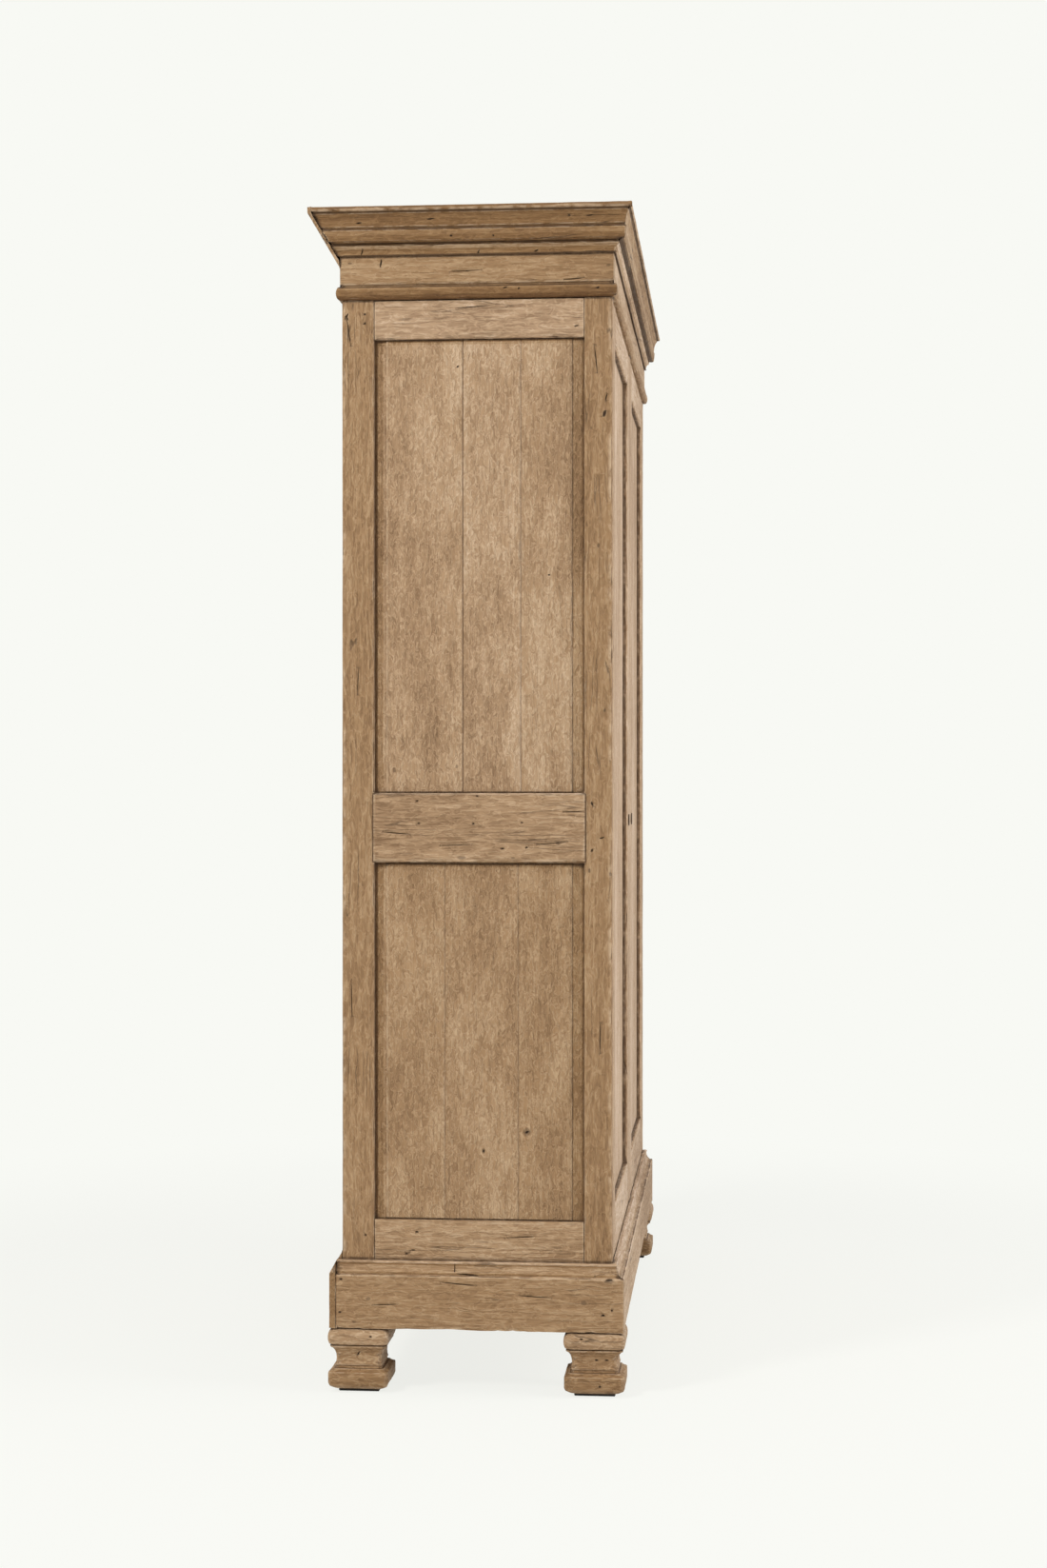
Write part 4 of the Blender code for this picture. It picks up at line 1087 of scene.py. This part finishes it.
for which in ("front", "back"):
    makeWood(f"frieze_{which}", "carcass", longFriezes[which])
    makeWood(f"cornice_{which}", "carcass", longCornices[which])
    makeWood(f"plinth_{which}", "carcass", longPlinths[which])
print("panels and mouldings made")

# mullion between the doors, the back and the boards inside
mullion = {"finish": "upright", "slot": "oak_frame", "grid": (0.011, 0.012, 0.010), "tone": 0.95}
muntin = {
    "finish": "upright", "slot": "oak_frame", "grid": (0.02, 0.0, 0.02), "margin": 0.004,
    "wear": light, "tone": 0.85,
}
backPanel = {
    "finish": "backBoard", "slot": "oak_inside", "grid": (0.025, 0.0, 0.025), "margin": 0.004,
    "wear": light, "tone": 0.82,
}
insideBoard = {
    "finish": "inside", "slot": "oak_inside", "grid": (0.02, 0.02, 0.010), "wear": light, "tone": 0.86,
}
makeWood("front_mullion", "carcass", mullion)
makeWood("back_muntin", "carcass", muntin)
for side in sides:
    makeWood(f"{side}_back_panel", "carcass", backPanel)
for node in ("floor_board", "shelf_1", "shelf_2", "shelf_3", "top_board"):
    makeWood(node, "carcass", insideBoard)
print("back and inside made")

# doors, whose panels are of three boards each
doorStile = {"finish": "upright", "slot": "oak_frame", "grid": (0.012, 0.010, 0.010), "tone": 1.0}
doorRail = {"finish": "frontBoard", "slot": "oak_frame", "grid": (0.010, 0.010, 0.011), "tone": 1.0}
doorPanel = {
    "finish": "doorPanel", "slot": "oak_panel", "grid": (0.014, 0.0, 0.014), "margin": 0.004,
    "wear": light, "tone": 1.0,
}
doorBoards = {"left": (0.30, 0.68), "right": (0.35, 0.72)}  # shares of the panel's width where boards meet
doorGroove = 0.25
for side in sides:
    body = side + "_door"
    for which in ("hinge", "lock"):
        makeWood(f"{body}_{which}_stile", body, doorStile)
    for which in ("top", "bottom"):
        makeWood(f"{body}_{which}_rail", body, doorRail)
    low, high = reachOf(f"{body}_panel", "x")
    joints = [("x", low + (high - low) * share) for share in doorBoards[side]]
    grooves = [(letter, joint, doorGroove) for letter, joint in joints]
    makeWood(f"{body}_panel", body, {**doorPanel, "joints": joints, "grooves": grooves})
faceCount = sum(len(wood["piece"].data.polygons) for wood in woods.values())
print("oak pieces made:", len(woods), "with", faceCount, "faces")


# wear and painted shade for the finishes: worn arrises, hollows, and what the neighbours shade, which is
# painted as shade
grimeShadeLook = {"rays": 9, "rise": 0.35, "reach": 0.045, "lift": 0.0008}


def skyDirections(count, rise):
    goldenTurn = math.pi * (3.0 - math.sqrt(5.0))
    found = []
    for index in range(count):
        turn = index * goldenTurn
        height = rise + (1.0 - rise) * (index + 0.5) / count
        spread = math.sqrt(1.0 - height * height)
        found.append(Vector((spread * math.cos(turn), spread * math.sin(turn), height)))
    return found


def insideMark(place, marks):
    for y, z, halfLength, halfWidth, tilt in marks:
        turn = math.radians(tilt)
        along = (y - place.y) * math.cos(turn) + (place.z - z) * math.sin(turn)
        across = (place.z - z) * math.cos(turn) - (y - place.y) * math.sin(turn)
        near = (along / halfLength) ** 2 + (across / halfWidth) ** 2 < markLook["stain"]
        if near and place.x < markLook["rightmost"]:
            return True
    return False


# how much nearby wood hides a corner; the finishes paint this as shade and grime
def shadeAt(corner, tree, sky):
    start = corner.co + corner.normal * grimeShadeLook["lift"]
    turn = corner.normal.to_track_quat("Z", "Y")
    shade = 0.0
    for way in sky:
        hit = tree.ray_cast(start, turn @ way, grimeShadeLook["reach"])
        if hit[0] is not None:
            shade += 1.0 - hit[3] / grimeShadeLook["reach"]
    return shade / len(sky)


def markWearAndShade():
    # a door moves, so it and the carcass don't paint shade onto each other
    trees = {}
    for body in ("carcass", "left_door", "right_door"):
        meshes = {node: wood["piece"].data for node, wood in woods.items() if wood["body"] == body}
        trees[body], _ = makeTree(meshes)
    sky = skyDirections(grimeShadeLook["rays"], grimeShadeLook["rise"])
    for wood in woods.values():
        mesh = wood["piece"].data
        arris, hollow = edgeShares(mesh)
        grimeAndShade = []
        inMark = []
        for corner in mesh.vertices:
            grimeAndShade.append(shadeAt(corner, trees[wood["body"]], sky))
            inMark.append(insideMark(corner.co, wood["marks"]))
            if inMark[-1]:
                arris[corner.index] = 0.0
        for label, values in (("arris", arris), ("hollow", hollow), ("grimeAndShade", grimeAndShade)):
            writeAttribute(mesh, label, values)
        flaws = [float(all(inMark[index] for index in face.vertices)) for face in mesh.polygons]
        writeAttribute(mesh, "flaw", flaws, "FACE")


markWearAndShade()
print("wear marked")


# iron of the locks and pivots, and felt of the pads under the feet
ironLook = {
    "colour": (0.120, 0.085, 0.055, 1.0),
    "speck": (0.170, 0.095, 0.050, 1.0),
    "patch": ((140.0, 140.0, 140.0), 4.0, 0.6),
    "speckSpan": (0.48, 0.66),
    "roughness": (0.38, 0.68),
    "metallic": 0.85,
    "grains": ((900.0, 900.0, 900.0), 2.0, 0.5),
    "reliefStrength": 0.35,
    "reliefDepth": 0.0004,
}
feltLook = {
    "colour": (0.030, 0.026, 0.022, 1.0),
    "speck": (0.075, 0.068, 0.058, 1.0),
    "patch": ((1500.0, 1500.0, 1500.0), 3.0, 0.7),
    "speckSpan": (0.45, 0.7),
    "roughness": (0.98, 0.88),
    "metallic": 0.0,
    "grains": ((1500.0, 1500.0, 1500.0), 3.0, 0.7),
    "reliefStrength": 0.5,
    "reliefDepth": 0.0006,
}


def makeSpeckled(name, look):
    finish, tree, shader = newFinish(name)
    place = addNode(tree, "TexCoord").outputs["Object"]
    patch = noiseAt(tree, place, *look["patch"])
    colour = mixColours(tree, remap(tree, patch, *look["speckSpan"]), look["colour"], look["speck"])
    relief = addNode(tree, "Bump", {
        "Height": noiseAt(tree, place, *look["grains"]),
        "Strength": look["reliefStrength"],
        "Distance": look["reliefDepth"],
    })
    tree.links.new(colour, shader["Base Color"])
    tree.links.new(remap(tree, patch, *noiseSpan, *look["roughness"]), shader["Roughness"])
    tree.links.new(relief.outputs[0], shader["Normal"])
    shader["Metallic"].default_value = look["metallic"]
    return finish


plainFinishes = {
    "_lock": makeSpeckled("darkIron", ironLook),
    "_pad": makeSpeckled("darkFelt", feltLook),
}
plainFinishes["_pivot"] = plainFinishes["_lock"]
for node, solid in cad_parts.items():
    for ending, finish in plainFinishes.items():
        if node.endswith(ending):
            solid.data.materials.clear()
            solid.data.materials.append(finish)
print("iron and felt set")


# studio: pale floor and surroundings, soft light from the upper left and the right
studio = {
    "pale": (0.939, 0.947, 0.905, 1.0),
    "ambient": (0.97, 0.985, 1.0, 1.0),
    "ambientStrength": 0.42,
    "floorHalf": 30.0,
    "floorColour": (0.90, 0.90, 0.88, 1.0),
    "floorRoughness": 0.9,
    "floorFade": (1.3, 2.6),  # the floor fades into the surroundings between these distances
    "floorFadeShares": (0.86, 1.0),
    "lights": (  # name, place, aim, size, power, colour
        ("keyLight", (-4.2, 3.4, 4.4), (-0.69, 0.0, 1.2), 1.1, 215.0, (1.0, 0.975, 0.94)),
        ("frontLight", (-1.0, -5.0, 2.4), (-0.1, -0.2, 1.1), 3.0, 205.0, (1.0, 0.985, 0.965)),
        ("topLight", (-0.5, 0.5, 5.5), (0.0, 0.0, 0.0), 3.0, 30.0, (1.0, 1.0, 1.0)),
    ),
}


def seenRay(tree):
    path = addNode(tree, "LightPath").outputs
    seen = calc(tree, "MAXIMUM", path["Is Camera Ray"], path["Is Glossy Ray"])
    return calc(tree, "MAXIMUM", seen, path["Is Transmission Ray"])


def setSurroundings(look):
    world = bpy.data.worlds.new("studioWorld")
    bpy.context.scene.world = world
    world.use_nodes = True
    tree = world.node_tree
    tree.nodes.clear()
    lamp = addNode(tree, "Background", {"Color": look["ambient"], "Strength": look["ambientStrength"]})
    shown = addNode(tree, "Background", {"Color": look["pale"], "Strength": 1.0})
    mixed = addNode(tree, "MixShader", {0: seenRay(tree), 1: lamp.outputs[0], 2: shown.outputs[0]})
    tree.links.new(mixed.outputs[0], addNode(tree, "OutputWorld").inputs["Surface"])


def setFloor(look):
    bpy.ops.object.select_all(action="DESELECT")
    bpy.ops.mesh.primitive_plane_add(size=2 * look["floorHalf"], location=(0.0, 0.0, 0.0))
    floor = bpy.context.active_object
    floor.name = "studioFloor"
    paint, tree, shader = newFinish("studioFloor")
    shader["Base Color"].default_value = look["floorColour"]
    shader["Roughness"].default_value = look["floorRoughness"]
    shader["Specular IOR Level"].default_value = 0.0
    away = vectorCalc(tree, "LENGTH", addNode(tree, "TexCoord").outputs["Object"])
    fade = remap(tree, away, *look["floorFade"], *look["floorFadeShares"])
    shown = addNode(tree, "Emission", {"Color": look["pale"], "Strength": 1.0})
    share = calc(tree, "MULTIPLY", fade, seenRay(tree))
    lit = tree.nodes["Principled BSDF"].outputs[0]
    mixed = addNode(tree, "MixShader", {0: share, 1: lit, 2: shown.outputs[0]})
    tree.links.new(mixed.outputs[0], tree.nodes["Material Output"].inputs["Surface"])
    floor.data.materials.append(paint)


def setLights(look):
    for name, place, aim, size, power, colour in look["lights"]:
        lamp = bpy.data.lights.new(name, "AREA")
        lamp.size = size
        lamp.energy = power
        lamp.color = colour
        held = bpy.data.objects.new(name, lamp)
        bpy.context.scene.collection.objects.link(held)
        held.location = place
        held.rotation_euler = (Vector(aim) - Vector(place)).to_track_quat("-Z", "Y").to_euler()


setSurroundings(studio)
setFloor(studio)
setLights(studio)
bpy.context.scene.view_settings.view_transform = "Standard"
print("studio set")
